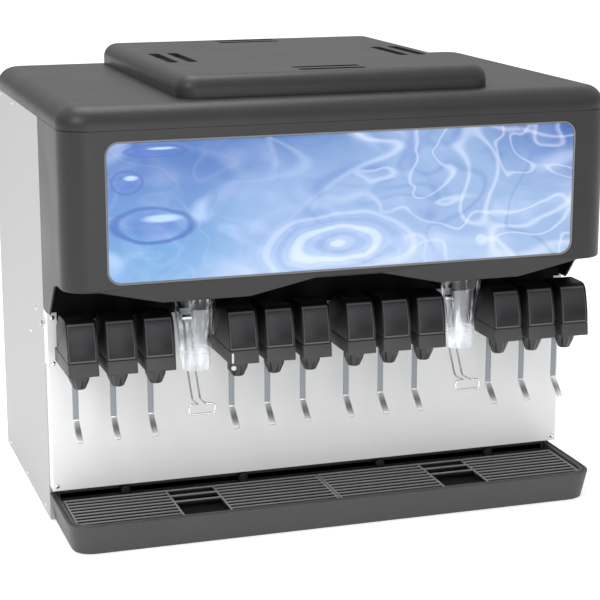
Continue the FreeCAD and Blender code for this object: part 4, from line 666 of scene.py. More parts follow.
# ------------------------------------------------------------------ sub-assemblies
@dataclass
class Head:
    """Moulded head with its lit panel."""

    wall: float = 0.005
    corner: float = 0.055
    top: float = 0.830
    high_lip: float = 0.527
    low_lip: float = 0.496
    setback: float = 0.016
    chute_x: float = 0.2825
    dip_half: float = 0.0865
    ramp: float = 0.126
    window: tuple[float, float, float] = (0.479, 0.538, 0.811)
    window_corner: float = 0.0275

    def front_lip(self, x: Array) -> Array:
        """Height of the lip: low over each dip, high elsewhere, with straight ramps between."""
        far = np.abs(np.abs(x) - self.chute_x) - self.dip_half
        return self.low_lip + (self.high_lip - self.low_lip) * np.clip(far / self.ramp, 0, 1)

    def columns(self) -> tuple[Array, Array, Array, Array]:
        """Places round the plan, left to right: point, outward normal, lip height, dip share."""
        side_y = np.array([FRONT, FRONT - 0.0618, FRONT - 0.0700, FRONT - 0.125, FRONT - 0.160,
                           HEAD_FRONT + self.corner])
        side_z = np.array([0.448, 0.448, 0.455, 0.518, self.high_lip, self.high_lip])
        turn = np.linspace(math.pi, 1.5 * math.pi, 13)[1:]
        mid = np.array([-HALF_WIDTH + self.corner, HEAD_FRONT + self.corner])
        arc = mid + self.corner * np.stack([np.cos(turn), np.sin(turn)], axis=1)
        inner, outer = self.chute_x - self.dip_half, self.chute_x + self.dip_half
        stops = np.array([outer + self.ramp, outer, inner, inner - self.ramp])
        front_x = np.concatenate([-stops[stops < HALF_WIDTH - self.corner],
                                  stops[::-1][stops[::-1] < HALF_WIDTH - self.corner]])
        left = np.concatenate([np.stack([np.full(6, -HALF_WIDTH), side_y], axis=1), arc])
        out = np.concatenate([np.tile([-1.0, 0.0], (6, 1)), np.stack([np.cos(turn), np.sin(turn)], axis=1)])
        lip = np.concatenate([side_z, np.full(len(arc), self.high_lip)])
        front = np.stack([front_x, np.full(len(front_x), HEAD_FRONT)], axis=1)
        points = np.concatenate([left, front, (left * [-1, 1])[::-1]])
        normals = np.concatenate([out, np.tile([0.0, -1.0], (len(front_x), 1)), (out * [-1, 1])[::-1]])
        heights = np.concatenate([lip, self.front_lip(front_x), lip[::-1]])
        share = (self.high_lip - heights) / (self.high_lip - self.low_lip)
        share[np.abs(points[:, 1] - HEAD_FRONT) > 1e-6] = 0
        return points, normals, heights, np.clip(share, 0, 1)

    def shell(self, skin: Skin) -> None:
        """Walls below the window's band as one grid, and the flat front with its window as two halves."""
        points, normals, lip, share = self.columns()
        crease = np.maximum(lip, self.high_lip) + 0.009 * share
        crease = np.where(lip < 0.52, np.where(share > 0, crease, lip + 0.004), crease)
        setback = self.setback * share
        turn = np.linspace(0, math.pi, 7)
        radius = self.wall / 2
        insets = [np.zeros(len(lip))] + [setback + radius * (1 - math.cos(a)) for a in turn]
        insets.append(np.full(len(lip), self.wall))
        heights = [crease + 0.002] + [lip + radius * (1 - math.sin(a)) for a in turn] + [crease + 0.002]
        inset, height = np.stack(insets, axis=1), np.stack(heights, axis=1)
        plan = points[:, None] - normals[:, None] * inset[..., None]
        skin.grid(np.concatenate([plan, height[..., None]], axis=2))
        flat = np.abs(points[:, 1] - HEAD_FRONT) < 1e-6
        first, last = np.flatnonzero(flat)[[0, -1]]
        for wall, stop in ((0.0, self.top), (self.wall, self.top)):
            for part in (slice(0, first + 1), slice(last, len(lip))):
                plan = points[part] - normals[part] * wall
                low = np.concatenate([plan, crease[part][:, None] + 0.002], axis=1)
                high = np.concatenate([plan, np.full((len(plan), 1), stop)], axis=1)
                skin.grid(np.stack([low, high], axis=1))
            self.face(skin, points[flat], crease[flat] + 0.002, HEAD_FRONT + wall)
        rim = np.stack([np.concatenate([points - normals * w, np.full((len(lip), 1), self.top)], axis=1)
                        for w in (0.0, self.wall)], axis=1)
        skin.grid(rim)

    def opening(self) -> Array:
        """Outline of the window, from above the middle round to the left."""
        half, low, high = self.window
        outline = oblong(half, (high - low) / 2, self.window_corner) + [0, (low + high) / 2]
        return outline

    def face(self, skin: Skin, points: Array, crease: Array, y: float) -> None:
        """Flat front between its border and the window, as a left and a right half."""
        outline = self.opening()
        low, high = self.window[1], self.window[2]
        for side in (-1, 1):
            keep = outline[outline[:, 0] * side > 0]
            turn = np.argsort(np.arctan2(keep[:, 1] - (low + high) / 2, keep[:, 0] * side))
            hole = np.concatenate([[(0, low)], keep[turn], [(0, high)]])
            row = points[:, 0] * side >= 0
            order = np.argsort(points[row, 0] * side)
            edge = np.stack([points[row, 0], crease[row]], axis=1)[order]
            foot = np.interp(0, points[:, 0], crease)
            border = np.concatenate([[(0, foot)], edge, [(edge[-1, 0], self.top)], [(0, self.top)]])
            ring = np.concatenate([border, hole[::-1]])
            numbers = self.add(skin, ring, y)
            skin.faces.append(numbers)

    def add(self, skin: Skin, ring: Array, y: float) -> list[int]:
        """Adds points of the plane at y and returns their numbers."""
        skin.points.append(np.stack([ring[:, 0], np.full(len(ring), y), ring[:, 1]], axis=1))
        numbers = list(range(skin.count, skin.count + len(ring)))
        skin.count += len(ring)
        return numbers

    def build(self, finish: "Finishes") -> None:
        """Shell, frame and lit panel."""
        skin = Skin()
        self.shell(skin)
        outline = self.opening()
        jamb = np.stack([np.stack([outline[:, 0], np.full(len(outline), HEAD_FRONT + w), outline[:, 1]],
                                  axis=1)
                         for w in (0.0, self.wall)])
        skin.grid(jamb, wrap_v=True)
        skin.piece("head_shell", "cabinet", "charcoal", finish.charcoal, "head_housing", crease=20)
        self.frame_round(finish)
        low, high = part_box("graphic_panel")
        panel = Skin()
        outline = oblong((high.x - low.x) / 2, (high.z - low.z) / 2, 0.024) + [0, (low.z + high.z) / 2]
        panel.carry(outline, Way.Y, (low.y, high.y), 0.0004)
        panel.piece("graphic_sheet", "cabinet", "graphic", finish.graphic, "graphic_panel")
        eased("lamp_tray", finish.inner_steel)
        eased("lamp_tubes", finish.lamp)
        eased("control_box", finish.grey_box, 0.001)

    def frame_round(self, finish: "Finishes") -> None:
        """Thin frame: a small rounded section carried round the window."""
        low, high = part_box("graphic_frame")
        half, tall, middle = (high.x - low.x) / 2, (high.z - low.z) / 2, (low.z + high.z) / 2
        section = ((0.0, 0.0), (0.0012, -0.0004), (0.0030, 0.0002), (0.0035, 0.0012), (0.0035, 0.0085),
                   (0.0, 0.0085))
        rings = []
        for inset, depth in section:
            outline = oblong(half - inset, tall - inset, 0.0275 - inset, 10)
            rings.append(Way.Y.place(outline[:, 0], outline[:, 1] + middle,
                                     np.full(len(outline), low.y + 0.0005 + depth)))
        skin = Skin()
        skin.grid(np.stack(rings), wrap_u=True, wrap_v=True)
        skin.piece("graphic_trim", "cabinet", "trim", finish.trim, "graphic_frame")


@dataclass
class Valves:
    """Twelve valves: bodies, covers, front plates, nozzles, levers."""

    half: float = 0.02975
    front: float = -0.346
    bottom: float = 0.352
    seam: float = 0.379
    ease: float = 0.0022

    def cover_outline(self) -> list[tuple[float, float]]:
        """Corners of the cover's side view, in (y, z)."""
        return [(self.front + 0.003, self.seam + 0.0006), (self.front + 0.0045, 0.403),
                (self.front + 0.0175, 0.449), (self.front + 0.0290, 0.459), (FRONT - 0.106, 0.459),
                (FRONT - 0.0722, 0.428), (FRONT - 0.0722, self.seam + 0.0006)]

    def build(self, finish: "Finishes") -> None:
        """Builds one valve about X = 0 and copies it to each place."""
        moves = [(x, 0, 0) for x in VALVE_X]
        cover = Skin()
        outline = rounded(self.cover_outline(), (0.001, 0.02, 0.012, 0.012, 0.006, 0.005, 0.001), 6)
        cover.carry(outline, Way.X, (-self.half, self.half), self.ease, 4)
        cover.copied(moves).piece("valve_cover_shells", "cabinet", "valve_plastic", finish.valve,
                                  "valve_covers")
        self.plates(finish, outline, moves)
        self.bodies(finish, moves)
        self.nozzles(finish, moves)
        for node, x in zip(LEVERS, VALVE_X):
            self.lever(finish, node, x)
        dress(finish.steel_small, "lever_pins")
        eased("valve_solenoids", finish.black)

    def plates(self, finish: "Finishes", outline: Array, moves: list[tuple[float, float, float]]) -> None:
        """Front plate that follows the cover's front, standing 0.5 mm proud inside thin rails."""
        low, high = self.seam + 0.0022, 0.4525
        y, z = outline.T
        chosen = outline[(y < FRONT - 0.16) & (z > self.seam + 0.003) & (z < high + 0.004)]
        chosen = chosen[np.argsort(chosen[:, 1])]
        heights = np.linspace(low, high, 26)
        line = np.stack([np.interp(heights, chosen[:, 1], chosen[:, 0]), heights], axis=1)
        course = np.gradient(line, axis=0)
        course /= np.linalg.norm(course, axis=1, keepdims=True)
        outward = np.stack([-course[:, 1], course[:, 0]], axis=1)
        plate = Skin()
        ring = np.concatenate([line + outward * 0.0005, (line - outward * 0.0012)[::-1]])
        plate.carry(ring, Way.X, (-0.0262, 0.0232), 0.0003, 2)
        plate.copied(moves).piece("valve_front_plates", "cabinet", "valve_plastic", finish.inset)
        rails = Skin()
        rail = np.concatenate([line + outward * 0.0013, (line - outward * 0.0012)[::-1]])
        for span in ((-0.0276, -0.0264), (0.0234, 0.0246)):
            rails.carry(rail, Way.X, span, 0.0005, 2)
        for end in (slice(0, 2), slice(-2, None)):
            cross = np.concatenate([line[end] + outward[end] * 0.0012,
                                    (line[end] - outward[end] * 0.0012)[::-1]])
            rails.carry(cross, Way.X, (-0.0270, 0.0240), 0.0003, 2)
        rails.copied(moves).piece("valve_front_rails", "cabinet", "valve_plastic", finish.rail)

    def bodies(self, finish: "Finishes", moves: list[tuple[float, float, float]]) -> None:
        """Band below the cover, the block behind it, and the ears that carry the lever pin."""
        skin = Skin()
        band = rounded([(self.front, self.bottom), (PANEL_FRONT - 0.012, self.bottom),
                        (PANEL_FRONT - 0.012, self.seam),
                        (self.front + 0.0028, self.seam)], 0.002, 3)
        skin.carry(band, Way.X, (-self.half, self.half), self.ease * 0.7, 3)
        stand = rounded([(FRONT - 0.0715, self.bottom + 0.001), (PANEL_FRONT, self.bottom + 0.001),
                         (PANEL_FRONT, 0.427),
                         (FRONT - 0.0715, 0.427)], 0.002, 3)
        skin.carry(stand, Way.X, (-0.020, 0.020), 0.0015, 2)
        pivot_y, pivot_z = FRONT - 0.096, 0.345
        ear = rounded([(pivot_y - 0.0055, self.bottom + 0.001), (pivot_y - 0.0055, pivot_z - 0.0055),
                       (pivot_y + 0.0055, pivot_z - 0.0055), (pivot_y + 0.0055, self.bottom + 0.001)],
                      (0.0005, 0.004, 0.004, 0.0005), 4)
        for side in (-1, 1):
            skin.carry(ear, Way.X, tuple(sorted((side * 0.0065, side * 0.0095))), 0.0005, 2)
        whole = skin.copied(moves)
        low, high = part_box("water_button")
        block = oblong(0.0075, 0.007, 0.0015) + [(low.x + high.x) / 2, 0.345]
        holder = Skin()
        holder.carry(block, Way.Y, (-0.335, -0.321), 0.0008)
        whole.join(holder)
        whole.piece("valve_body_blocks", "cabinet", "valve_plastic", finish.band, "valve_bodies")
        button = Skin()
        profile = [(0.0, low.y), (0.0038, low.y), (0.0048, low.y + 0.0008), (0.005, low.y + 0.002),
                   (0.005, low.y + 0.005),
                   (0.003, low.y + 0.0052), (0.003, high.y), (0.0, high.y)]
        button.turned(profile, Way.Y, ((low.x + high.x) / 2, 0.345), 24)
        button.piece("water_push", "button", "white_plastic", finish.white, "water_button")
        label = Skin()
        tag = oblong(0.0020, 0.0100, 0.0008) + [VALVE_X[3] - self.half + 0.0055, 0.3655]
        label.carry(tag, Way.Y, (self.front - 0.0004, self.front + 0.001), 0.0002)
        label.piece("water_tag", "cabinet", "white_plastic", finish.white)

    def nozzles(self, finish: "Finishes", moves: list[tuple[float, float, float]]) -> None:
        """Fluted skirt that narrows to its tip."""
        skin = Skin()
        base = self.bottom
        profile = [(0.0, base), (0.0190, base), (0.0200, base - 0.002), (0.0203, base - 0.006),
                   (0.0200, base - 0.014),
                   (0.0184, base - 0.019), (0.0125, base - 0.033), (0.0112, base - 0.035),
                   (0.0075, base - 0.035),
                   (0.007, base - 0.030), (0.0, base - 0.029)]
        skin.turned(profile, Way.Z, (0, FRONT - 0.143), 84, (12, 0.045))
        skin.copied(moves).piece("nozzle_skirts", "cabinet", "smoke_plastic", finish.smoke, "valve_nozzles",
                                 crease=40)

    def lever(self, finish: "Finishes", node: str, x: float) -> None:
        """Strip from the hub to the bend, a thicker foot beyond it, and the hub."""
        pivot_y, pivot_z = FRONT - 0.096, 0.345
        low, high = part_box(node)
        bend_z = 0.2365
        tip = (low.y + 0.0025, low.z + 0.0032)
        strip = Skin()
        path = [(pivot_y, pivot_z), (pivot_y, bend_z + 0.001)]
        half_w, half_t = (high.x - low.x) / 2, 0.00125
        ring = oblong(half_w, half_t, 0.0009, 3)
        rings = [Way.Z.place(ring[:, 0] + x, ring[:, 1] + y, np.full(len(ring), z)) for y, z in path]
        strip.loft(np.stack(rings))
        hub = [(0.0, x - half_w), (0.0048, x - half_w), (0.0055, x - half_w + 0.0007),
               (0.0055, x + half_w - 0.0007), (0.0048, x + half_w), (0.0, x + half_w)]
        strip.turned(hub, Way.X, (pivot_y, pivot_z), 24)
        shares = (0.12, 0.5, 0.93)
        slope = [(pivot_y + (tip[0] - pivot_y) * s, bend_z + (tip[1] - bend_z) * s) for s in shares]
        foot_line = np.array([(pivot_y, bend_z + 0.0035), (pivot_y, bend_z), *slope, tip])
        course = np.gradient(foot_line, axis=0)
        course /= np.linalg.norm(course, axis=1, keepdims=True)
        side = np.stack([course[:, 1], -course[:, 0]], axis=1)
        thick = np.array([0.00125, 0.0024, 0.0028, 0.0028, 0.0028, 0.0020])
        wide = np.array([1.0, 1.0, 1.0, 1.0, 1.0, 0.94]) * half_w
        foot = Skin()
        rings = []
        for spot, across, t, w in zip(foot_line, side, thick, wide):
            ring = oblong(w, t, min(t, w) * 0.45, 3)
            rings.append(np.stack([ring[:, 0] + x, spot[0] + across[0] * ring[:, 1],
                                   spot[1] + across[1] * ring[:, 1]], axis=1))
        foot.loft(np.stack(rings))
        strip.piece(f"{node}_strip", node, "polished_steel", finish.lever, node)
        foot.piece(f"{node}_foot", node, "polished_steel", finish.foot)


@dataclass
class IceWays:
    """Clear chutes, their wire levers, and what carries ice to them."""

    places: tuple[float, float] = (-0.2825, 0.2825)
    y: float = FRONT - 0.132

    def build(self, finish: "Finishes") -> None:
        """Chutes, wires and brackets, and materials on the hidden pieces."""
        skin = Skin()
        outer = [(0.0285, 0.336), (0.0300, 0.3365), (0.0305, 0.338), (0.0305, 0.371), (0.0318, 0.3725),
                 (0.0318, 0.3745),
                 (0.0307, 0.376), (0.0345, 0.408), (0.0395, 0.450), (0.0443, 0.488), (0.0448, 0.4935)]
        inner = [(0.0428, 0.4935), (0.0420, 0.488), (0.0372, 0.450), (0.0321, 0.408), (0.0284, 0.376),
                 (0.0280, 0.371),
                 (0.0280, 0.3375)]
        angle = np.linspace(0, 2 * math.pi, 56, endpoint=False)
        profile = np.array(outer + inner)
        rings = Way.Z.place(profile[:, :1] * np.cos(angle), profile[:, :1] * np.sin(angle) + self.y,
                            np.repeat(profile[:, 1:], 56, axis=1))
        skin.grid(rings, wrap_u=True, wrap_v=True)
        pair = skin.copied([(x, 0, 0) for x in self.places])
        pair.piece("chute_tubes", "cabinet", "clear_plastic", finish.clear, "ice_chutes", crease=40)
        for side, x in zip(("left", "right"), self.places):
            self.wire(finish, side, x)
        eased("ice_lever_brackets", finish.panel_steel, 0.0006)
        eased("ice_throats", finish.black, 0.001)
        eased("ice_gate_left", finish.white, 0.0005)
        eased("ice_gate_right", finish.white, 0.0005)
        eased("gate_solenoids", finish.black, 0.001)

    def wire(self, finish: "Finishes", side: str, x: float) -> None:
        """Bent wire: down behind the chute, under it, and out to a loop that a cup presses."""
        half, loop = 0.008, 0.026
        bends = [(half, 0.062, 0.422), (half, 0.098, 0.326), (half, 0.134, 0.271), (half, 0.179, 0.274),
                 (loop, 0.180, 0.274), (loop, 0.180, 0.2542)]
        right = [(x + a, FRONT - b, c) for a, b, c in bends]
        left = [(x - a, FRONT - b, c) for a, b, c in bends[::-1]]
        radii = [0, 0.012, 0.009, 0.006, 0.008, 0.007, 0.007, 0.008, 0.006, 0.009, 0.012, 0]
        skin = Skin()
        skin.tube(rounded(right + left, radii, 6, closed=False), 0.00195, 12)
        hub = [(0.0, x - 0.012), (0.0052, x - 0.012), (0.006, x - 0.0112), (0.006, x + 0.0112),
               (0.0052, x + 0.012), (0.0, x + 0.012)]
        skin.turned(hub, Way.X, (FRONT - 0.062, 0.422), 28)
        skin.piece(f"ice_wire_{side}", f"ice_lever_{side}", "polished_steel", finish.chrome,
                   f"ice_lever_{side}")


@dataclass
class Tray:
    """Drip tray, cup rests, thumb screws and drain."""

    back: float = FRONT
    reach: float = 0.226
    draft: float = 0.010
    height: float = 0.060

    def plan(self, inset: float, corner: float, back: float = 0.0) -> Array:
        """Outline with rounded front corners and nearly square back corners."""
        half = HALF_WIDTH - inset
        low, high = self.back - self.reach + inset, self.back - back
        corners = [(-half, high), (-half, low), (half, low), (half, high)]
        return rounded(corners, (0.002, corner, corner, 0.002), 10)

    def build(self, finish: "Finishes") -> None:
        """Tray as one skin from the foot over the rim to the floor, with its rests and screws."""
        skin = Skin()
        rows = [(0.0125, 0.0, 0.045, 0.0), (0.0105, 0.0015, 0.045, 0.0), (0.0004, 0.0585, 0.048, 0.0),
                (0.0008, 0.0596, 0.048, 0.0),
                (0.0020, 0.060, 0.047, 0.0), (0.0046, 0.060, 0.046, 0.002), (0.0056, 0.0592, 0.046, 0.0025),
                (0.0062, 0.0575, 0.046, 0.003), (0.0074, 0.0575, 0.045, 0.003),
                (0.0080, 0.0592, 0.045, 0.0035),
                (0.0090, 0.060, 0.045, 0.004), (0.0142, 0.060, 0.040, 0.0055),
                (0.0156, 0.0592, 0.040, 0.0058),
                (0.0162, 0.0575, 0.040, 0.006), (0.0170, 0.0465, 0.040, 0.006), (0.0180, 0.046, 0.039, 0.006),
                (0.0240, 0.046, 0.034, 0.006), (0.0254, 0.0445, 0.034, 0.006), (0.0315, 0.007, 0.030, 0.006),
                (0.0340, 0.005, 0.028, 0.007)]
        rings = []
        for inset, z, corner, back in rows:
            outline = self.plan(inset, corner, back)
            rings.append(np.column_stack([outline, np.full(len(outline), z)]))
        skin.loft(np.stack(rings))
        low_y, high_y = self.back - 0.055, self.back - 0.003
        shelf = rounded([(low_y, 0.041), (high_y, 0.041), (high_y, 0.046), (low_y, 0.046)], 0.0015, 3)
        skin.carry(shelf, Way.X, (-0.538, 0.538), 0.0005)
        rib = rounded([(self.back - 0.190, 0.004), (self.back - 0.004, 0.004), (self.back - 0.004, 0.0458),
                       (self.back - 0.190, 0.0458)], 0.001, 2)
        skin.carry(rib, Way.X, (-0.009, 0.009), 0.0008)
        wall = rounded([(self.back - 0.006, 0.0455), (self.back, 0.0455), (self.back, 0.069),
                        (self.back - 0.006, 0.069)], 0.0015, 3)
        skin.carry(wall, Way.X, (-0.539, 0.539), 0.001)
        skin.piece("tray_moulding", "cabinet", "tray_plastic", finish.tray, "drip_tray", crease=28)
        for side, sign in (("left", -1), ("right", 1)):
            self.rest(finish, side, sign)
        self.knobs(finish)
        dress(finish.steel_small, "drain_fitting")

    def rest(self, finish: "Finishes", side: str, sign: int) -> None:
        """Grille of bars with rounded tops; a quarter ring makes its outer front corner."""
        node = f"cup_rest_{side}"
        low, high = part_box(node)
        rows, margin, ease = 10, 0.00225, 0.0004
        step = (high.y - low.y - 2 * margin) / (rows - 1)
        middle = (low.z + high.z) / 2
        skin = Skin()
        outer = max(abs(low.x), abs(high.x))
        section = oblong(0.0021, 0.0048, 0.0016, 3)
        bend = (0.514, -0.332)
        gap = (0.228, 0.327)
        whole_rows = (0, 2, 4, 9)
        ends = {rows - 1: bend[0], rows - 2: outer - 0.0008}
        for row in range(rows):
            y = high.y - margin - row * step
            end = ends.get(row, outer)
            runs = ((0.001, end),) if row in whole_rows else ((0.001, gap[0]), (gap[1], end))
            for run in runs:
                span = tuple(sorted((sign * run[0], sign * run[1])))
                skin.carry(section + [y, middle], Way.X, span, ease, 2)
        for x, front in ((0.00325, low.y), (gap[0], low.y), (gap[1], low.y), (outer - margin, bend[1])):
            skin.carry(section * [1, 0.96] + [sign * x, middle], Way.Y, (front, high.y), ease, 2)
        turn = np.linspace(-math.pi / 2, 0, 9)[:, None]
        reach = outer - margin - bend[0] + section[:, 0]
        height = np.broadcast_to(middle + section[:, 1] * 0.98, (len(turn), len(section)))
        across = sign * (bend[0] + reach * np.cos(turn))
        skin.loft(np.stack([across, bend[1] + reach * np.sin(turn), height], axis=-1))
        skin.piece(f"{node}_grille", f"rest_{side}", "tray_plastic", finish.grille, node, crease=40)

    def knobs(self, finish: "Finishes") -> None:
        """Round heads with a ribbed side and a shallow round recess."""
        skin = Skin()
        back = self.back - 0.006
        profile = [(0.0, back), (0.0078, back), (0.0096, back - 0.001), (0.0098, back - 0.0125),
                   (0.0088, back - 0.0146),
                   (0.0052, back - 0.015), (0.0046, back - 0.0138), (0.0, back - 0.0138)]
        skin.turned(profile, Way.Y, (0, 0.0565), 60, (20, 0.018))
        skin.copied([(x, 0, 0) for x in (-0.405, -0.153, 0.153, 0.405)]).piece(
            "thumb_screw_heads", "cabinet", "knob_black", finish.knob, "tray_screws")


@dataclass
class Cabinet:
    """Sheet metal, top, screws and the switch."""

    def build(self, finish: "Finishes") -> None:
        """Bevelled copies of the sheets, and new heads for the screws."""
        for node in ("left_side_panel", "right_side_panel"):
            eased(node, finish.side_steel, 0.0007)
        eased("back_panel", finish.side_steel, 0.0007)
        eased("base_pan", finish.inner_steel, 0.0006)
        eased("splash_panel", finish.panel_steel, 0.0007)
        eased("valve_plate", finish.panel_steel, 0.0007)
        # The upper panel's black stands in for the shade under the head: painted shade.
        eased("upper_panel", finish.black, 0.0005)
        eased("top_cover", finish.charcoal, 0.0012, crease=30)
        eased("ice_lid", finish.charcoal, 0.0012, crease=30)
        self.screws(finish)
        self.key(finish)

    def screws(self, finish: "Finishes") -> None:
        """Domed heads: front ones look forward, the others sideways."""
        skin = Skin()
        dome = [(0.0, -0.0022), (0.0018, -0.0021), (0.0034, -0.0017), (0.0045, -0.0009), (0.005, 0.0),
                (0.0, 0.0002)]
        front_x = HALF_WIDTH - 0.010
        spots = [(sign * front_x, z, PANEL_FRONT) for sign in (-1, 1) for z in (0.436, 0.342)]
        spots += [(sign * front_x, 0.084, PANEL_FRONT + 0.002) for sign in (-1, 1)]
        for x, z, y in spots:
            skin.turned([(r, y + d) for r, d in dome], Way.Y, (x, z), 20)
        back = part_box("back_panel")[1].y
        for x in (-0.545, -0.18, 0.18, 0.545):
            for z in (0.020, 0.810):
                skin.turned([(r, back - d) for r, d in dome], Way.Y, (x, z), 20)
        places = ((460, 824), (302, 822), (492, 18), (269, 18), (47, 21), (89, 428), (154, 366))
        for along, z in places:
            for sign in (-1, 1):
                profile = [(r, sign * (HALF_WIDTH - d)) for r, d in dome]
                skin.turned(profile, Way.X, (FRONT + along * MM, z * MM), 20)
        skin.piece("screw_heads", "cabinet", "polished_steel", finish.chrome, "panel_screws")

    def key(self, finish: "Finishes") -> None:
        """Collar and barrel of the key switch."""
        y, z, x = FRONT - 0.012, 0.420, -HALF_WIDTH
        skin = Skin()
        skin.turned([(0.0062, x + 0.02), (0.0062, x - 0.0036), (0.0070, x - 0.004), (0.0090, x - 0.0035),
                     (0.010, x - 0.002),
                     (0.010, x), (0.008, x), (0.008, x + 0.02)], Way.X, (y, z), 40)
        skin.piece("key_collar", "cabinet", "polished_steel", finish.chrome, "key_switch_body")
        eased("key_switch_barrel", finish.steel_small, 0.0004)


@dataclass
class Inside:
    """Bin, foam, plate, agitator, tubes and the inlet."""

    def build(self, finish: "Finishes") -> None:
        """Rounded copies of the visible ones and plain finishes on the rest."""
        eased("ice_bin", finish.white, 0.0008)
        eased("bin_insulation", finish.foam)
        eased("cold_plate", finish.cast, 0.001)
        eased("agitator_wheel", finish.white, 0.001)
        eased("agitator_shaft", finish.chrome)
        eased("gear_motor", finish.black, 0.001)
        eased("product_tubes", finish.tube)
        eased("supply_barbs", finish.tube)
        eased("power_inlet", finish.knob, 0.0005)
        eased("leg_nuts", finish.steel_small, 0.0004)


class Finishes:
    """All materials, made once."""

    def __init__(self) -> None:
        self.charcoal = Grained("charcoal_plastic", (0.016, 0.016, 0.0163), 0.40, 0.00022, 560, 0.35,
                                0.42).paint()
        # Valve covers turn darker towards their tops: painted shade under the head.
        self.valve = PaintedLightByHeight("valve_plastic", 0.405, 0.452, (0.004, 0.004, 0.004), (0.034, 0.034, 0.035), 0.42,
                          0.12).paint()
        self.band = Grained("valve_band_plastic", (0.044, 0.044, 0.045), 0.42, 0.00014, 800, 0.45,
                            0.3).paint()
        self.rail = Grained("valve_rail_plastic", (0.085, 0.085, 0.085), 0.35, 0.00005, 900, 0.25,
                            0.3).paint()
        # Valve front plates: a painted highlight band between dark edges.
        self.inset = Inset("valve_front_plate", 0.384, 0.438, 0.470, (0.036, 0.036, 0.040)).paint()
        self.smoke = Grained("smoked_nozzle", (0.026, 0.026, 0.027), 0.14, 0.00004, 500).paint()
        self.tray = Grained("tray_plastic", (0.048, 0.048, 0.049), 0.46, 0.00014, 700, 0.2, 0.42).paint()
        # Grille bars light on top and near black below: painted light on the tops, painted shade on the
        # sides.
        self.grille = PaintedLightByHeight("grille_plastic", 0.0515, 0.0557, (0.24, 0.24, 0.24)).paint()
        self.knob = Grained("knob_plastic", (0.025, 0.025, 0.025), 0.35, 0.00006, 900).paint()
        self.black = Grained("black_coat", (0.005, 0.005, 0.005), 0.6, 0.00008, 900, 0.25, 0.08).paint()
        self.white = Grained("white_plastic", (0.60, 0.60, 0.585), 0.4, 0.00005, 900, 0.04).paint()
        self.grey_box = Grained("grey_coat", (0.35, 0.36, 0.37), 0.5, 0.0001, 700, 0.06).paint()
        self.foam = Grained("rigid_foam", (0.72, 0.66, 0.45), 0.85, 0.0006, 260, 0.1).paint()
        self.cast = Grained("cast_plate", (0.42, 0.42, 0.43), 0.55, 0.0003, 420, 0.1).paint()
        self.trim = Grained("light_trim", (0.17, 0.165, 0.16), 0.3, 0.00003, 900, 0.08).paint()
        # One stainless in two tones: the darker side panels are painted shade, the lighter splash panel is
        # painted light against the shade under the head.
        self.side_steel = Brushed("side_steel", (0.44, 0.44, 0.44), 0.5, 0.15, Way.Z).paint()
        self.panel_steel = Brushed("panel_steel", (0.84, 0.84, 0.84), 0.55, 0.05, Way.X).paint()
        self.inner_steel = Brushed("inner_steel", (0.5, 0.5, 0.5), 0.5, 0.7, Way.X).paint()
        self.lever = Brushed("lever_steel", (0.24, 0.265, 0.285), 0.4, 0.4, Way.Z).paint()
        # Lever feet: a painted reflection that changes with height.
        self.foot = Foot("lever_foot_steel", (0.202, 0.222, 0.240)).paint()
        self.tube = Polished("drawn_tube", (0.6, 0.6, 0.6), 0.3).paint()
        self.chrome = Polished("polished_steel", (0.74, 0.75, 0.76), 0.12).paint()
        self.steel_small = Polished("turned_steel", (0.55, 0.55, 0.56), 0.26).paint()
        # Chutes: emitted streaks and milky glow are painted highlights and painted light.
        self.clear = Clear("clear_plastic", 0.385).paint()
        self.graphic = Water("water_panel", 0.475, 0.6745, 0.1325).paint()
        self.lamp = Lamp("opal_tube").paint()


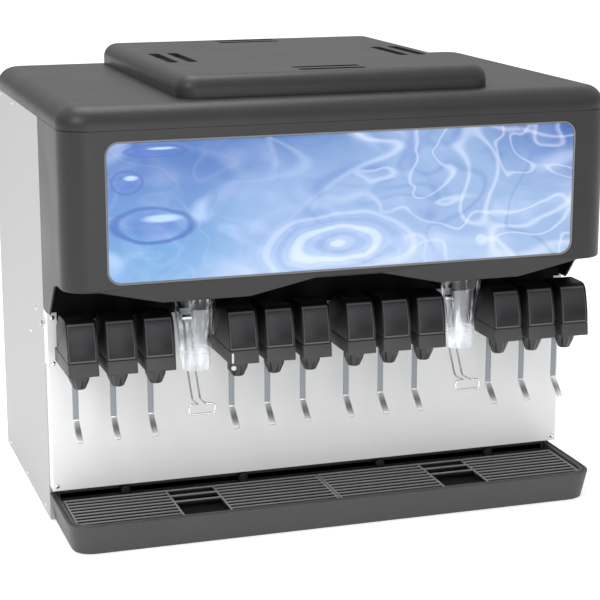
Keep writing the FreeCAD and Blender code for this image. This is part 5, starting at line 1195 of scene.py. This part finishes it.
# ------------------------------------------------------------------ studio
@dataclass
class Studio:
    """Floor, light and camera."""

    lens: float = 108.67
    spot: Colour = (-1.1544, -3.643, 1.2991)
    pitch: float = math.radians(13.40)
    yaw: float = -0.3137

    def build(self) -> None:
        """Pale floor, three soft lights, an even sky and the camera."""
        self.floor()
        self.light("key", (-2.9, -2.4, 3.0), (0, -0.1, 0.5), 1.4, 48.0)
        self.light("front", (-0.3, -3.9, 0.5), (0, -0.1, 0.3), 2.0, 24.0)
        self.light("top", (-0.3, 0.2, 3.0), (0, 0, 0.5), 1.8, 40.0)
        world = bpy.data.worlds.new("studio_sky")
        world.use_nodes = True
        tree = world.node_tree
        back = next(n for n in tree.nodes if n.type == "BACKGROUND")
        back.inputs["Color"].default_value = (1.0, 1.0, 1.0, 1.0)
        ray = tree.nodes.new("ShaderNodeTexCoord").outputs["Generated"]
        rise = tree.nodes.new("ShaderNodeSeparateXYZ")
        tree.links.new(ray, rise.inputs[0])
        blend = tree.nodes.new("ShaderNodeMapRange")
        for socket, value in (("From Min", 0.05), ("From Max", 0.6), ("To Min", 0.34), ("To Max", 0.95)):
            blend.inputs[socket].default_value = value
        tree.links.new(rise.outputs["Z"], blend.inputs["Value"])
        tree.links.new(blend.outputs["Result"], back.inputs["Strength"])
        scene = bpy.context.scene
        scene.world = world
        scene.view_settings.view_transform = "Standard"
        lens = bpy.data.cameras.new("camera")
        lens.lens = self.lens
        lens.sensor_width = 36.0
        camera = bpy.data.objects.new("camera", lens)
        camera.location = self.spot
        camera.rotation_euler = (math.pi / 2 - self.pitch, 0, self.yaw)
        scene.collection.objects.link(camera)
        scene.camera = camera

    def floor(self) -> None:
        """Wide plane just under the unit."""
        shader = Shader("pale_floor")
        clouds = shader.noise(1.5, 2.0)
        pale = shader.mix(clouds, (0.93, 0.93, 0.93), (0.95, 0.95, 0.95))
        shader.set(Base_Color=pale, Emission_Color=pale, Emission_Strength=0.42, Roughness=0.85)
        mesh = bpy.data.meshes.new("floor")
        side = 30.0
        drop = -0.0005
        corners = [(-side, -side, drop), (side, -side, drop), (side, side, drop), (-side, side, drop)]
        mesh.from_pydata(corners, [], [(0, 1, 2, 3)])
        mesh.materials.append(shader.material)
        floor = bpy.data.objects.new("floor", mesh)
        bpy.context.scene.collection.objects.link(floor)

    def light(self, name: str, spot: Colour, aim: Colour, size: float, power: float) -> None:
        """Square soft light that looks at a place."""
        data = bpy.data.lights.new(name, "AREA")
        data.size = size
        data.energy = power
        item = bpy.data.objects.new(name, data)
        item.location = spot
        course = np.subtract(aim, spot)
        item.rotation_euler = (math.acos(-course[2] / np.linalg.norm(course)), 0,
                               math.atan2(course[0], -course[1]) + math.pi)
        bpy.context.scene.collection.objects.link(item)


def main() -> None:
    """Builds every sub-assembly and the studio."""
    logging.basicConfig(level=logging.INFO, format="%(name)s %(message)s")
    finish = Finishes()
    for part in (Cabinet(), Head(), Valves(), IceWays(), Tray(), Inside()):
        part.build(finish)
        log.info("%s done", type(part).__name__)
    Studio().build()


if __name__ == "__main__":
    main()
